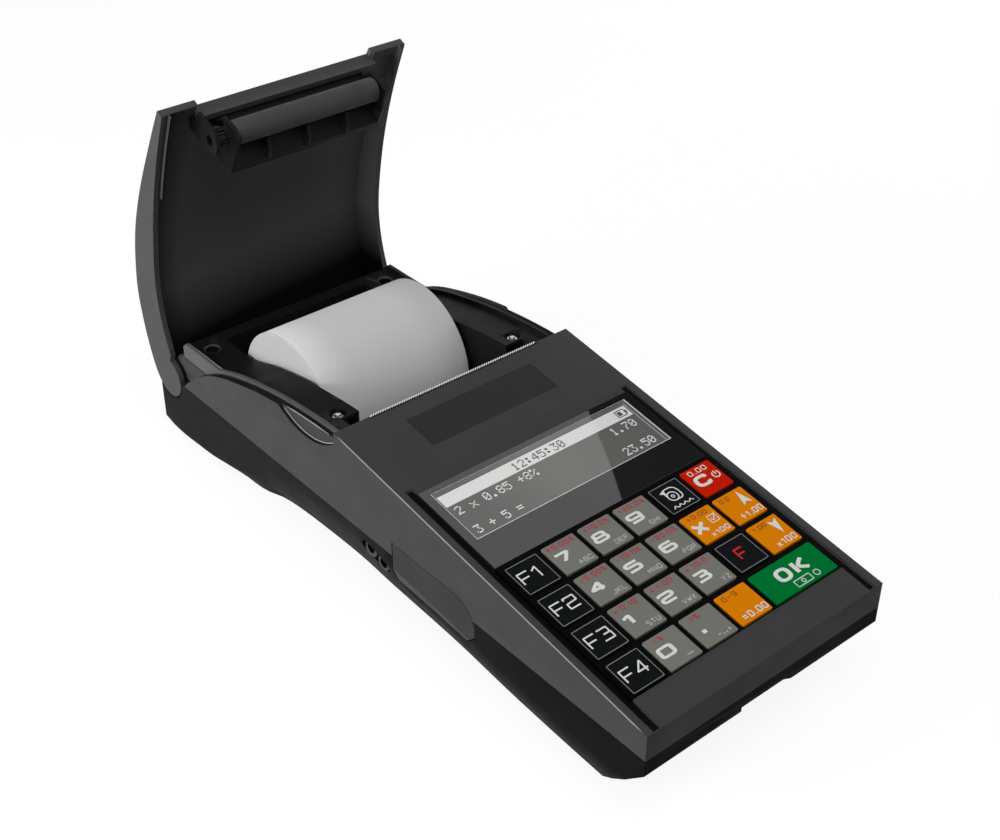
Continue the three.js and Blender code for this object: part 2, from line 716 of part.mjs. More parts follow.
// Port cover: the piece of both case halves that the hole takes out, hinged along its lower edge
const caseOuter = join(tubOuter, alongX(sideProfile, -half, half));
const portCover = alongX(coverOutline(0), -half - overrun, -half + coverThickness).intersect(caseOuter);
addPart('port_cover', portCover, 0x464646, 0.6);

// Rubber foot strips in pockets of the underside
footPlaces.forEach(([name, y]) => {
  addPart(name, alongZ(roundRect(-footHalf, footHalf, y, y + footLength, footLength / 5),
    footBottom, footTop), 0x1a1a1a, 0.9);
});

// Battery and the hatch over it
addPart('battery_cover', join(
  block(fit - batteryHalf, batteryHalf - fit, batteryFront + fit, batteryRear - fit,
    -baseDepth, -baseDepth + floorThickness / 2 - fit),
  block(fit - hatchHalf, hatchHalf - fit, batteryFront + hatchMargin + fit, batteryRear - hatchMargin - fit,
    -baseDepth + gap, floorZ)), 0x202020, 0.65);
addPart('battery_pack', alongY(roundRect(-batteryHalf, batteryHalf, floorZ + gap,
  floorZ + gap + batteryHeight, batteryHeight / 6), batteryFront + fit, batteryRear - fit), 0x2c3c50, 0.5);

// Printer deck: shoulders beside the bay, the walls of the bay, a rear shelf and an outer rim
const rimShares = [
  [0, 0], [0.17, 0.335], [0.328, 0.56], [0.527, 0.78], [0.717, 0.92], [0.858, 0.985], [1, 1],
];
const rimClimb = rimFront - rimStraight;
const rimArc = smooth(rimShares.map(([along, height]) =>
  [panelLength + gap + rimRun * (1 - along), rimStraight + rimClimb * height]));
const rimLine = [[deckRear, rimStraight], ...rimArc];
const rimTop = [[deckRear, rimStraight - rimProud], [deckRear - rimProud, rimStraight], ...rimArc];
const rimProfile = [...rimTop, ...rimLine.map(([y, z]) => [y, z - rimDepth]).reverse()];
const lowered = (line, drop) => line.map(([y, z]) => [y, z - drop]);
const band = (line, topDrop, bottomDrop) =>
  [...lowered(line, topDrop), ...lowered([...line].reverse(), bottomDrop)];
const deckTop = wallArcHeight + 2 * overrun;
const shoulderZ = wallArcHeight - rimProud - deckSheet / 2;
const deckTopLine = lowered(rimLine, rimProud);
const deckFloorLine = [[bayFront, floorZ + gap], [deckRear, floorZ + gap]];
const bayWallProfile = [...deckTopLine, deckFloorLine[0], deckFloorLine[1]];
const shelfZ = rimStraight - rimProud - deckSheet / 2;
const clearFront = block(-pocketReach, pocketReach, panelLength, bayFront, floorZ, deckTop);

let deck = alongX(band(rimLine, rimProud, rimProud + deckSheet), -rimInner - overrun, rimInner + overrun);
deck = cut(deck, clearFront, block(-bayHalf, bayHalf, panelLength, bayRear, floorZ, deckTop));
[-1, 1].forEach((side) => {
  const rimSpan = [side * rimInner, side * rimOuter].sort((a, b) => a - b);
  const baySpan = [side * bayHalf, side * (bayHalf + deckWall)].sort((a, b) => a - b);
  const bayWall = cut(alongX(bayWallProfile, ...baySpan),
    block(-half, half, panelLength, bayFront, floorZ, deckTop),
    block(-half, half, bayRear + deckWall, caseLength, floorZ, shelfZ - deckSheet / 2));
  deck = join(deck, alongX(rimProfile, ...rimSpan), bayWall);
  deck = join(deck, rodZ(bossRadius, deckBossBottom, shoulderZ,
    side * deckScrewX, deckScrewY, roundSides));
  deck = join(deck, rodZ(bossRadius, rearBossBottom, shelfZ, side * rearScrewX, rearScrewY, roundSides));
});
deck = join(deck,
  block(-bayHalf - deckWall, bayHalf + deckWall, bayRear, bayRear + deckWall, floorZ + gap, shelfZ),
  block(gap - earInner, earInner - gap, deckRear - deckWall, deckRear, hingeEarHeight / 2, shelfZ));
[-1, 1].forEach((side) => {
  const pocketSpan = [side * pocketReach, side * (pocketReach + deckWall)].sort((a, b) => a - b);
  deck = join(deck, block(...pocketSpan, panelLength + gap, bayFront, wallArcHeight / 2, shoulderZ));
  deck = cut(deck,
    rodZ(headHole, deckScrewSeat, deckTop, side * deckScrewX, deckScrewY, roundSides),
    rodZ(screwHole, deckBossBottom - overrun, deckScrewSeat + overrun, side * deckScrewX, deckScrewY),
    rodZ(headHole, rearScrewSeat, rimStraight + overrun, side * rearScrewX, rearScrewY, roundSides),
    rodZ(screwHole, rearBossBottom - overrun, rearScrewSeat + overrun, side * rearScrewX, rearScrewY));
});
deck = cut(deck, clearFront.intersect(block(-bayHalf - deckWall, bayHalf + deckWall, panelLength, bayFront,
  floorZ, deckTop)));
addPart('printer_deck', deck, 0x1c1c1c, 0.6);
const rearScrewLength = rearScrewSeat - floorZ - postFoot;
[[-1, 'left'], [1, 'right']].forEach(([side, place]) => {
  addPart('deck_screw_' + place,
    screw(side * deckScrewX, deckScrewY, deckScrewSeat + gap / 2, deckScrewLength), 0xb8b8b8, 0.3, 1);
  addPart('rear_screw_' + place,
    screw(side * rearScrewX, rearScrewY, rearScrewSeat + gap / 2, rearScrewLength), 0xb8b8b8, 0.3, 1);
});

// Face plates on the panel: the display lens, and the black keypad bezel
const plateSide = plateHalf - fit;
addPart('display_lens', onPanel(-plateSide, plateSide, lensFront, facePlateRear - fit,
  fit - facePlateDepth, 0), 0x1a1a1a, 0.08);
addPart('lcd_module', onPanel(gap + displayLedge - plateHalf, plateHalf - displayLedge - gap,
  displayFront - displayLedge + gap, facePlateRear - displayLedge / 2 - gap,
  -facePlateDepth - gap - moduleHeight, -facePlateDepth - gap), 0x6b6b67, 0.5);

// Keypad: four rows, the last key two pitches wide
const keypadLeft = -((columns - 1) * keyPitchX + keyWidth) / 2;
const keyColors = {
  key_multiply: 0xe08400, key_up: 0xe08400, key_down: 0xe08400, key_subtotal: 0xe08400,
  key_clear: 0xcc2a14, key_ok: 0x007a33, key_feed: 0x141a1c, key_function: 0x141a1c,
  key_f1: 0x141a1c, key_f2: 0x141a1c, key_f3: 0x141a1c, key_f4: 0x141a1c,
};
const keys = keyRows.flatMap((row, r) => row.map((name, c) => {
  const x0 = keypadLeft + c * keyPitchX;
  const x1 = c === row.length - 1 ? keypadLeft + (columns - 1) * keyPitchX + keyWidth : x0 + keyWidth;
  const s1 = keyRearEdge - r * keyPitchS;
  return { name, x0, x1, s0: s1 - keyLength, s1 };
}));
const keyBottom = -bezelThickness - gap - keyFlangeHeight;
keys.forEach(({ name, x0, x1, s0, s1 }) => {
  const cap = alongZ(roundRect(x0, x1, s0, s1, keyCorner), keyBottom, keyProud, panelFrame);
  const flange = onPanel(x0 - keyFlange, x1 + keyFlange, s0 + overrun, s1 - overrun,
    keyBottom, keyBottom + keyFlangeHeight);
  addPart(name, join(cap, flange), keyColors[name] ?? 0x666862, 0.5);
});
const keyHoles = keys.map(({ x0, x1, s0, s1 }) => alongZ(
  roundRect(x0 - gap, x1 + gap, s0 - gap, s1 + gap, keyCorner + gap),
  -bezelThickness - overrun, overrun, panelFrame));
addPart('keypad_bezel', cut(
  onPanel(-plateSide, plateSide, facePlateFront + fit, lensFront - fit, -bezelThickness, 0), ...keyHoles),
  0x0d0d0d, 0.4);
const matTop = keyBottom - keyTravel - gap;
addPart('rubber_keypad', onPanel(-boardHalfWidth, boardHalfWidth, facePlateFront + 2 * ledge,
  keyRearEdge + ledge, matTop - matThickness, matTop), 0x55584f, 0.9);

// Electronics under the panel
const boardZ = matTop - matThickness;
const boardUnder = boardZ - gap / 2 - boardThickness;
const buzzer = rodZ(buzzerRadius, boardUnder - buzzerHeight, boardUnder + boardThickness / 2,
  boardHalfWidth / 2, (boardFront + boardRear) / 2, smallSides, panelFrame);
addPart('main_board', join(
  onPanel(-boardHalfWidth, boardHalfWidth, boardFront, boardRear, boardUnder, boardZ - gap / 2), buzzer),
  0x1f5a34, 0.5);
addPart('memory_module', onPanel(-boardHalfWidth / 2, memoryWidth - boardHalfWidth / 2,
  boardRear - memoryLength - gap, boardRear - gap, boardUnder - gap / 2 - memoryHeight,
  boardUnder - gap / 2), 0x2a2a2a, 0.6);

// Side ports: two round jacks, a service socket behind the cover, and the small board under them
const jackFace = -half + jackInset;
const ioBoardLeft = -inside + 2 * jackInset;
const jackBodyLength = -frameOuter - jackRoom - ioBoardLeft;
function jack(y, z, radius, bodyHalf) {
  const barrel = rodX(radius, jackFace, ioBoardLeft + overrun, y, z, roundSides);
  const body = block(ioBoardLeft, ioBoardLeft + jackBodyLength, y - bodyHalf, y + bodyHalf,
    ioBoardTop + gap / 2, z + bodyHalf);
  const bore = rodX(jackBoreRadius, jackFace - overrun, jackFace + jackBoreDepth, y, z, smallSides);
  const pin = rodX(jackPinRadius, jackFace + overrun, jackFace + jackBoreDepth + overrun, y, z,
    smallSides / 2);
  return join(cut(join(barrel, body), bore), pin);
}
addPart('power_jack', jack(powerJackY, powerJackZ, powerJackRadius, jackSpacing / 2), 0x101010, 0.4);
addPart('data_jack', jack(dataJackY, dataJackZ, dataJackRadius, jackSpacing / 2 - gap), 0x101010, 0.4);
const socketY = (coverFront + coverRear) / 2;
const socketHalf = socketWidth / 2;
const socketTop = ioBoardTop + socketHeight;
addPart('service_socket', cut(
  block(ioBoardLeft, ioBoardLeft + jackBodyLength, socketY - socketHalf, socketY + socketHalf,
    ioBoardTop + gap / 2, socketTop),
  block(ioBoardLeft - overrun, ioBoardLeft + jackBoreDepth, socketY - socketHalf + overrun,
    socketY + socketHalf - overrun, socketTop - socketSlotDrop - socketSlotHeight,
    socketTop - socketSlotDrop)),
  0xa8a8a8, 0.35, 0.8);
addPart('port_board', block(ioBoardLeft + overrun, ioBoardLeft + jackBodyLength + ioBoardMargin,
  socketY - socketHalf - overrun, powerJackY + jackSpacing / 2,
  ioBoardTop - ioBoardThickness, ioBoardTop), 0x1f5a34, 0.5);

// Tear bar: a thin steel strip with a saw-toothed top edge, standing in the notch of the panel
const toothCount = Math.round(tearBarWidth / toothPitch);
const toothStep = tearBarWidth / toothCount;
const tearTop = lidEdgeZ + toothHeight;
const tearOutline = [-1, 1].map((side) => [side * tearBarWidth / 2, tearTop - tearBarHeight]);
for (let i = toothCount; i > 0; i -= 1) {
  const x = -tearBarWidth / 2 + i * toothStep;
  tearOutline.push([x, tearTop - toothHeight], [x - toothStep / 2, tearTop]);
}
tearOutline.push([-tearBarWidth / 2, tearTop - toothHeight]);
addPart('tear_bar', alongY(tearOutline, panelLength - tearBarThickness, panelLength), 0xd0d0d0, 0.25, 1);

// Print head on its heat sink, and the leaf spring that presses it to the closed platen
const headFace = platenY - platenRadius - gap;
const headBack = headFace - headThickness;
const sinkBack = headBack - sinkThickness;
const springWallY = sinkBack - headSpringRoom;
const headHalf = bracketInner - fit;
addPart('print_head', join(
  block(-headHalf, headHalf, headBack, headFace, headBottom, headTop),
  block(-headHalf, headHalf, sinkBack, headBack + headThickness / 2, headBottom + gap, headTop - gap)),
  0xd8d0c0, 0.3);
const springMiddle = (headTop + headBottom) / 2 + headSpringWidth / 2;
const springFoot = springWallY + gap + headSpringThickness;
const springBow = Array.from({ length: arcSteps + 1 }, (_, i) => {
  const along = 2 * i / arcSteps - 1;
  return [along * headSpringLength / 2, springFoot + (sinkBack - gap - springFoot) * (1 - along ** 2)];
});
addPart('head_spring', alongZ([...springBow, ...offset(springBow, -headSpringThickness).reverse()],
  springMiddle - headSpringWidth / 2, springMiddle + headSpringWidth / 2), 0xb0b0b0, 0.35, 1);

// Gears and motor
const motorRight = -frameInner + gap;
const idlerPin = shaftRadius - fit;
addPart('idler_gear', gear(idlerTeeth, idlerY, idlerZ, pinionAngle, idlerPin + fit, -gearOuter, -gearInner),
  0xd8d4c8, 0.5);
addPart('motor_pinion', join(
  gear(pinionTeeth, pinionY, pinionZ, pinionAngle + Math.PI + Math.PI / pinionTeeth, 0,
    -gearOuter, -gearInner),
  rodX(shaftRadius / 2, -gearInner - overrun, motorRight + gap + overrun, pinionY, pinionZ, smallSides)),
  0xb08a3c, 0.35, 1);
addPart('stepper_motor', cut(
  rodX(motorRadius, motorRight, motorRight + motorLength, pinionY, pinionZ, roundSides),
  rodX(shaftRadius / 2 + fit, motorRight - overrun, motorRight + 3 * overrun, pinionY, pinionZ, smallSides)),
  0x8c8c90, 0.35, 0.9);

// Mechanism frame: two slotted side plates, a floor and a cross wall for the head's springs
const slotRadius = bearingRadius + gap;
const frameProfile = [
  [frameFront, framePadZ], [frameRear, framePadZ], [frameRear, platenZ + slotRadius],
  [platenY + slotRadius + 2 * gap, platenZ + slotRadius], [platenY + slotRadius, platenZ],
  ...circle(platenY, platenZ, slotRadius, smallSides / 2, 0, -Math.PI),
  [platenY - slotRadius, headTop - gap], [springWallY - framePlate, headTop - 2 * gap],
  [frameFront, platenZ - slotRadius],
];
let frame = join(...[-1, 1].map((side) =>
  alongX(frameProfile, ...[side * frameInner, side * frameOuter].sort((a, b) => a - b))));
frame = join(frame,
  block(-frameOuter, frameOuter, frameFront, frameRear, framePadZ, framePadZ + framePlate),
  block(-frameOuter, frameOuter, springWallY - framePlate, springWallY, pinionZ + motorRadius + gap,
    headTop - 2 * gap),
  rodX(idlerPin, -gearOuter, framePlate / 2 - frameOuter, idlerY, idlerZ, smallSides));
frame = cut(frame, rodX(shaftRadius, -frameOuter - overrun, fit - frameInner, pinionY, pinionZ, smallSides));
addPart('mechanism_frame', frame, 0x77797c, 0.35, 1);

// Lid, drawn closed; its group swings it open about the hinge.
// Each row: place along the lid, and height, of the outer skin.
const lidShares = [
  [0, 0], [0.132, 0.5], [0.3, 0.97], [0.425, 1], [0.536, 0.56],
];
const tail = THREE.MathUtils.degToRad(lidTailDegrees);
const barrelStart = THREE.MathUtils.degToRad(barrelStartDegrees);
const barrelSweep = THREE.MathUtils.degToRad(barrelSweepDegrees);
const lidSpan = hingeY + barrelRadius - lidFront;
const lidFallShares = [
  [0.648, 0.885], [0.751, 0.765], [0.842, 0.583], [0.917, 0.39], [0.9745, 0.197], [0.996, 0.06],
];
const lidTop = smooth([
  ...lidShares.map(([along, rise]) => [lidFront + along * lidSpan, lidEdgeZ + rise * (lidRise - lidEdgeZ)]),
  ...lidFallShares.map(([along, rise]) => [lidFront + along * lidSpan, rise * lidRise]),
], 2 * arcSteps);
const cheekEdge = wallArc.map(([y, z]) => [y, z + gap]);
const lidOutline = [
  [lidFront, wallArcHeight + gap], ...lidTop,
  ...circle(hingeY, hingeZ, barrelRadius, roundSides, barrelStart, -barrelSweep),
  [hingeY - barrelRadius - gap, gap], ...cheekEdge.slice(0, -1),
];
const barrelInner = barrelRadius - lidSkin;
const lidHollow = [
  [lidFront - overrun, -baseDepth], [lidFront - overrun, lidEdgeZ - lidSkin],
  ...offset(lidTop, -lidSkin).slice(1),
  ...circle(hingeY, hingeZ, barrelInner, smallSides, barrelStart, -barrelStart - tail),
  [hingeY + 2 * barrelRadius * Math.cos(tail), hingeZ - 2 * barrelRadius * Math.sin(tail)],
  [hingeY + barrelRadius, -baseDepth],
];
const barFront = panelLength + lidBarSetback;
const cornerInner = tearBarWidth / 2 + gap;
const cornerStart = tearBarWidth / 2 + lidCornerSetback;
let lidShell = cut(alongX(lidOutline, -half, half), alongX(lidHollow, -inside, inside));
lidShell = cut(lidShell,
  block(-cornerInner, cornerInner, lidFront - overrun, barFront, 0, lidRise + overrun));
const cornerRear = lidFront + lidCornerLength;
const cornerBlock = [
  [lidFront, rimFront + gap], [lidFront, lidEdgeZ - lidSkin / 2],
  [cornerRear, lidEdgeZ - lidSkin / 2], [cornerRear, rimFront + gap + lidSkin / 2],
];
const lip = [
  ...wallArc.filter(([y]) => y < panelLength + lipLength)
    .map(([y, z]) => [Math.max(y, lidFront), z - lipDrop]),
  [lidFront, lidEdgeZ - lidSkin / 2], [lidFront + lipLength, lidEdgeZ - lidSkin / 2],
];
[-1, 1].forEach((side) => {
  const cornerSpan = [side * cornerStart, side * (inside + wall / 2)].sort((a, b) => a - b);
  const lipSpan = [side * (inside - gap), side * (inside - gap - lipWidth)].sort((a, b) => a - b);
  const lipRoot = [side * (inside - gap - lipWidth), side * (inside + gap)].sort((a, b) => a - b);
  lidShell = join(lidShell, alongX(cornerBlock, ...cornerSpan), alongX(lip, ...lipSpan),
    alongX(lip.map(([y, z]) => [y, Math.max(z, wallArcHeight + gap)]), ...lipRoot));
});
lidShell = join(lidShell, alongX([
  [barFront, lidEdgeZ - lidBarDrop], [barFront, lidEdgeZ - lidSkin / 2],
  [barFront + lidBarThickness, lidEdgeZ - lidSkin / 2],
  [barFront + lidBarThickness - gap, lidEdgeZ - lidBarDrop],
], -cornerStart, cornerStart));
[-1, 1].forEach((side) => {
  const x = side * (cornerStart + inside) / 2;
  lidShell = cut(lidShell, block(x - lidNotchWidth / 2, x + lidNotchWidth / 2, lidFront + lidNotchDepth,
    cornerRear - lidNotchDepth, rimFront, rimFront + gap + lidNotchDepth));
});
lidShell = cut(lidShell, pinHole);
addPart('lid_shell', lidShell, 0x4a4a4a, 0.55, 0, lid);

// Hinge rod through both ears, its ends in the cheeks
addPart('hinge_rod', rodX(hingePinRadius, gap - rodEnd, rodEnd - gap, hingeY, hingeZ, smallSides),
  0xa0a0a0, 0.3, 1, lid);

// Platen bracket in the lid: end plates with bushes for the shaft, a shelf behind the platen, guide ribs.
const bracketTop = lidEdgeZ - lidSkin - gap;
// Shares of the platen's radius, from its axis
const bracketTipShare = 1.4;
const bracketRearShare = 3;
const shelfFrontShares = [[1.3, 0.55], [2.55, -1.4]];
const shelfRearShares = [[3, -1.4], [1.8, 0.75]];
const shelfTopShares = [1.45, 1.7];
const ribSeatShares = [[2.1, -1.4], [2.775, -1.4], [1.5, 0.65]];
const ribTopShare = 1.55;
const ribArcShares = [0.42, 0.68];
const fromPlaten = ([a, b]) => [platenY + a * platenRadius, platenZ + b * platenRadius];
const bracketTip = platenZ - bracketTipShare * platenRadius;
const bracketRear = platenY + bracketRearShare * platenRadius;
const shelfY = barFront + lidBarThickness + gap;
const endPlate = [
  [headFace + 2 * gap, bracketTip + gap], [headFace + 2 * gap, platenZ + platenRadius + gap],
  [shelfY, lidEdgeZ - lidBarDrop - gap], [shelfY, bracketTop], [bracketRear - platenRadius, bracketTop],
  [bracketRear, bracketTop - platenRadius], [bracketRear, bracketTip], [platenY + platenRadius, bracketTip],
];
const shelfLine = [
  [shelfY, bracketTop], [shelfY, platenZ + shelfTopShares[0] * platenRadius],
  ...shelfFrontShares.map(fromPlaten),
];
const shelfBack = [
  ...shelfRearShares.map(fromPlaten), [shelfY + deckSheet, platenZ + shelfTopShares[1] * platenRadius],
  [shelfY + deckSheet, bracketTop],
];
const ribOutline = [
  ...circle(platenY, platenZ, platenRadius + 2 * gap, smallSides / 2,
    Math.PI * ribArcShares[0], -Math.PI * ribArcShares[1]),
  ...ribSeatShares.map(fromPlaten), [shelfY + gap, platenZ + ribTopShare * platenRadius],
];
const bushOuter = frameOuter + gap;
const shelfHalf = bracketInner + bracketPlate / 2;
let bracket = alongX([...shelfLine, ...shelfBack], -shelfHalf, shelfHalf);
[-1, 1].forEach((side) => {
  const plateSpan = [side * bracketInner, side * (bracketInner + bracketPlate)].sort((a, b) => a - b);
  const bushSpan = [side * bracketInner, side * bushOuter].sort((a, b) => a - b);
  bracket = join(bracket, alongX(endPlate, ...plateSpan), rodX(bearingRadius, ...bushSpan, platenY, platenZ));
});
[-1, 0, 1].forEach((place) => {
  const x = place * platenLength * ribPlaceShare;
  bracket = join(bracket, alongX(ribOutline, x - bracketRib / 2, x + bracketRib / 2));
});
// A guard outside the platen's gear, on a bridge over it
const guardInner = gearOuter + 2 * gap;
const guardFront = cornerRear + gap;
const guardRear = platenY + guardRadius;
const bridgeBottom = platenZ + tipRadius(platenTeeth) + gap;
const guardOutline = [
  ...circle(platenY, platenZ, guardRadius, smallSides, 0, -Math.PI),
  [platenY - guardRadius, lidEdgeZ - lidBarDrop - gap], [guardFront, lidEdgeZ - lidBarDrop - gap],
  [guardFront, bracketTop], [guardRear - guardBridge, bracketTop], [guardRear, bracketTop - guardBridge],
];
bracket = join(bracket, alongX(guardOutline, -guardInner - guardPlate, -guardInner),
  block(-guardInner - guardPlate / 2, -bracketInner, shelfY, guardRear - gap, bridgeBottom,
    bridgeBottom + 2 * guardBridge));
bracket = cut(bracket, rodX(shaftRadius + fit, -half, half, platenY, platenZ));
addPart('platen_bracket', bracket, 0x161616, 0.6, 0, lid);

// Platen: rubber roller and gear on a steel shaft
addPart('platen_roller', cut(
  rodX(platenRadius, -platenLength / 2, platenLength / 2, platenY, platenZ, roundSides),
  rodX(shaftRadius + fit, -platenLength, platenLength, platenY, platenZ, roundSides)),
  0x3a3a3a, 0.75, 0, lid);
addPart('platen_shaft',
  rodX(shaftRadius, -gearOuter - gap, bushOuter + 2 * gap, platenY, platenZ, roundSides),
  0xb0b0b0, 0.25, 1, lid);
addPart('platen_gear', gear(platenTeeth, platenY, platenZ, 0, shaftRadius + fit, -gearOuter, -gearInner),
  0xd8d4c8, 0.5, 0, lid);

// Paper roll on its core, lying in the bay
addPart('paper_roll', cut(rodX(rollRadius, -rollWidth / 2, rollWidth / 2, rollY, rollZ, 2 * roundSides),
  rodX(coreRadius + gap, -rollWidth, rollWidth, rollY, rollZ, roundSides)), 0xdcdcdc, 0.9);
addPart('paper_core', cut(rodX(coreRadius, -rollWidth / 2, rollWidth / 2, rollY, rollZ, roundSides),
  rodX(coreRadius - coreWall, -rollWidth, rollWidth, rollY, rollZ, roundSides)), 0xb8a078, 0.9);

// Stand the model on its feet, over the middle of its bounding box
root.updateMatrixWorld(true);
const bounds = new THREE.Box3().setFromObject(root, true);
const middle = bounds.getCenter(new THREE.Vector3());
root.position.set(-middle.x, -middle.y, -bounds.min.z);
root.updateMatrixWorld(true);

export default root;
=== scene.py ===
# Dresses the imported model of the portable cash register: materials, rounded edges, legends,
# the display, the paper roll, and the studio round it. Metres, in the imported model's frame.
import json
from math import cos, hypot, pi, radians, sin, tan

import bmesh
import bpy
from mathutils import Matrix, Vector


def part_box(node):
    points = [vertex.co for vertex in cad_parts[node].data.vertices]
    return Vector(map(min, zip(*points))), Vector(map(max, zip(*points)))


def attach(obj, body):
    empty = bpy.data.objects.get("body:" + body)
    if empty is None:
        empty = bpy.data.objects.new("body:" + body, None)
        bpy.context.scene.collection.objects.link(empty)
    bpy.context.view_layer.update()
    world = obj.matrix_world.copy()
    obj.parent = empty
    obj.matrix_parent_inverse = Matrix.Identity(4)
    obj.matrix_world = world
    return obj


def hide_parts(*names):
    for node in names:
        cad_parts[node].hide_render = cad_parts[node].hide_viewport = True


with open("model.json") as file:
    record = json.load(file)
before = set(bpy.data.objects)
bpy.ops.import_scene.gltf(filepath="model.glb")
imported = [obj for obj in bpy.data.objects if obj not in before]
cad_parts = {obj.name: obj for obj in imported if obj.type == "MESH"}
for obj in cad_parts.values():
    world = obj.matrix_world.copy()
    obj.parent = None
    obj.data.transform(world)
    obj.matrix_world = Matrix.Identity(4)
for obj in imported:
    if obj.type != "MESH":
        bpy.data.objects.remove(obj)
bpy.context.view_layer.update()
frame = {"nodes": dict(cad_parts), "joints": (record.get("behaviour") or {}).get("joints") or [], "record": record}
nodes = frame["nodes"]
node_body = {n: body for body, members in frame["record"]["behaviour"]["bodies"].items() for n in members}

MM = 0.001
TILT = radians(8.82)                    # slope of the panel
PANEL_FRONT = 8.8                       # height of the panel's front edge over the parting line
HALF = 46.5                             # half the case's width
SLOPE_END = 133.995                     # where the panel ends at the rear
HINGE_Y, HINGE_Z = 234.495, -1.0
hinge = Vector(next(j["pos_m"] for j in frame["joints"] if j["name"] == "lid_hinge"))


def at(x, y, z):
    """Millimetres from the middle of the front face and the parting line, as a point of the model."""
    return Vector((x * MM, hinge.y + (y - HINGE_Y) * MM, hinge.z + (z - HINGE_Z) * MM))


panel = Matrix.Translation(at(0, 0, PANEL_FRONT)) @ Matrix.Rotation(TILT, 4, "X")
panel_up = panel.to_3x3() @ Vector((0, 0, 1))


def on_panel(x, s, n):
    """Millimetres across, up the slope of and over the sloping panel."""
    return panel @ Vector((x * MM, s * MM, n * MM))


# Camera, at the place that the photograph was taken from
EYE = (-260.914, -191.794, 303.568)
YAW, PITCH, ROLL = 0.702, 0.607, 0.006


def add_camera():
    data = bpy.data.cameras.new("photo_camera")
    data.sensor_fit = "HORIZONTAL"
    data.sensor_width = 36
    data.lens = 57.6
    data.shift_x = 0.00924
    data.clip_start = 0.01
    camera = bpy.data.objects.new("photo_camera", data)
    bpy.context.scene.collection.objects.link(camera)
    look = Vector((sin(YAW) * cos(PITCH), cos(YAW) * cos(PITCH), -sin(PITCH)))
    right = look.cross(Vector((0, 0, 1))).normalized()
    up = right.cross(look)
    side = cos(ROLL) * right + sin(ROLL) * up
    top = cos(ROLL) * up - sin(ROLL) * right
    turn = Matrix((side, top, -look)).transposed().to_4x4()
    camera.matrix_world = Matrix.Translation(at(*EYE)) @ turn
    bpy.context.scene.camera = camera


add_camera()


# Materials
def linear(code):
    """A colour written as six hexadecimal digits, as the shaders take it."""
    parts = [int(code[i:i + 2], 16) / 255 for i in (0, 2, 4)]
    return tuple(c / 12.92 if c <= 0.04045 else ((c + 0.055) / 1.055) ** 2.4 for c in parts) + (1.0,)


class Nodes:
    """A short way to build a node tree."""

    def __init__(self, name):
        self.material = bpy.data.materials.new(name)
        self.material.use_nodes = True
        self.tree = self.material.node_tree
        self.tree.nodes.clear()
        self.out = self.add("ShaderNodeOutputMaterial")
        self.place = self.add("ShaderNodeTexCoord").outputs["Object"]

    def add(self, kind, **values):
        node = self.tree.nodes.new(kind)
        for key, value in values.items():
            setattr(node, key, value)
        return node

    def link(self, a, b):
        self.tree.links.new(a, b)

    def noise(self, scale, detail=2, stretch=None):
        node = self.add("ShaderNodeTexNoise")
        node.inputs["Scale"].default_value = scale
        node.inputs["Detail"].default_value = detail
        source = self.place
        if stretch:
            mapping = self.add("ShaderNodeMapping")
            mapping.inputs["Scale"].default_value = stretch
            self.link(self.place, mapping.inputs["Vector"])
            source = mapping.outputs[0]
        self.link(source, node.inputs["Vector"])
        return node.outputs["Fac"]

    def range(self, value, low, high, to_low, to_high):
        node = self.add("ShaderNodeMapRange")
        for i, number in enumerate((low, high, to_low, to_high), 1):
            node.inputs[i].default_value = number
        self.link(value, node.inputs[0])
        return node.outputs[0]

    def mix(self, factor, a, b, blend="MIX"):
        node = self.add("ShaderNodeMix", data_type="RGBA", blend_type=blend)
        self.link(factor, node.inputs[0])
        for socket, value in ((node.inputs[6], a), (node.inputs[7], b)):
            if isinstance(value, tuple):
                socket.default_value = value
            else:
                self.link(value, socket)
        return node.outputs[2]

    def bump(self, height, strength, distance, normal=None):
        node = self.add("ShaderNodeBump")
        node.inputs["Strength"].default_value = strength
        node.inputs["Distance"].default_value = distance
        self.link(height, node.inputs["Height"])
        if normal:
            self.link(normal, node.inputs["Normal"])
        return node.outputs[0]

    def soft_edge(self, radius):
        node = self.add("ShaderNodeBevel", samples=6)
        node.inputs["Radius"].default_value = radius
        return node.outputs[0]

    def surface(self, color, roughness, normal=None, **fixed):
        shader = self.add("ShaderNodeBsdfPrincipled")
        for name, value in (("Base Color", color), ("Roughness", roughness), ("Normal", normal)):
            if value is None:
                continue
            if isinstance(value, (int, float, tuple)):
                shader.inputs[name].default_value = value
            else:
                self.link(value, shader.inputs[name])
        for name, value in fixed.items():
            shader.inputs[name.replace("_", " ")].default_value = value
        self.link(shader.outputs[0], self.out.inputs[0])
        return self.material


def scaled(color, factor):
    """A lighter or darker shade of a colour."""
    return tuple(min(c * factor, 1) for c in color[:3]) + (1.0,)


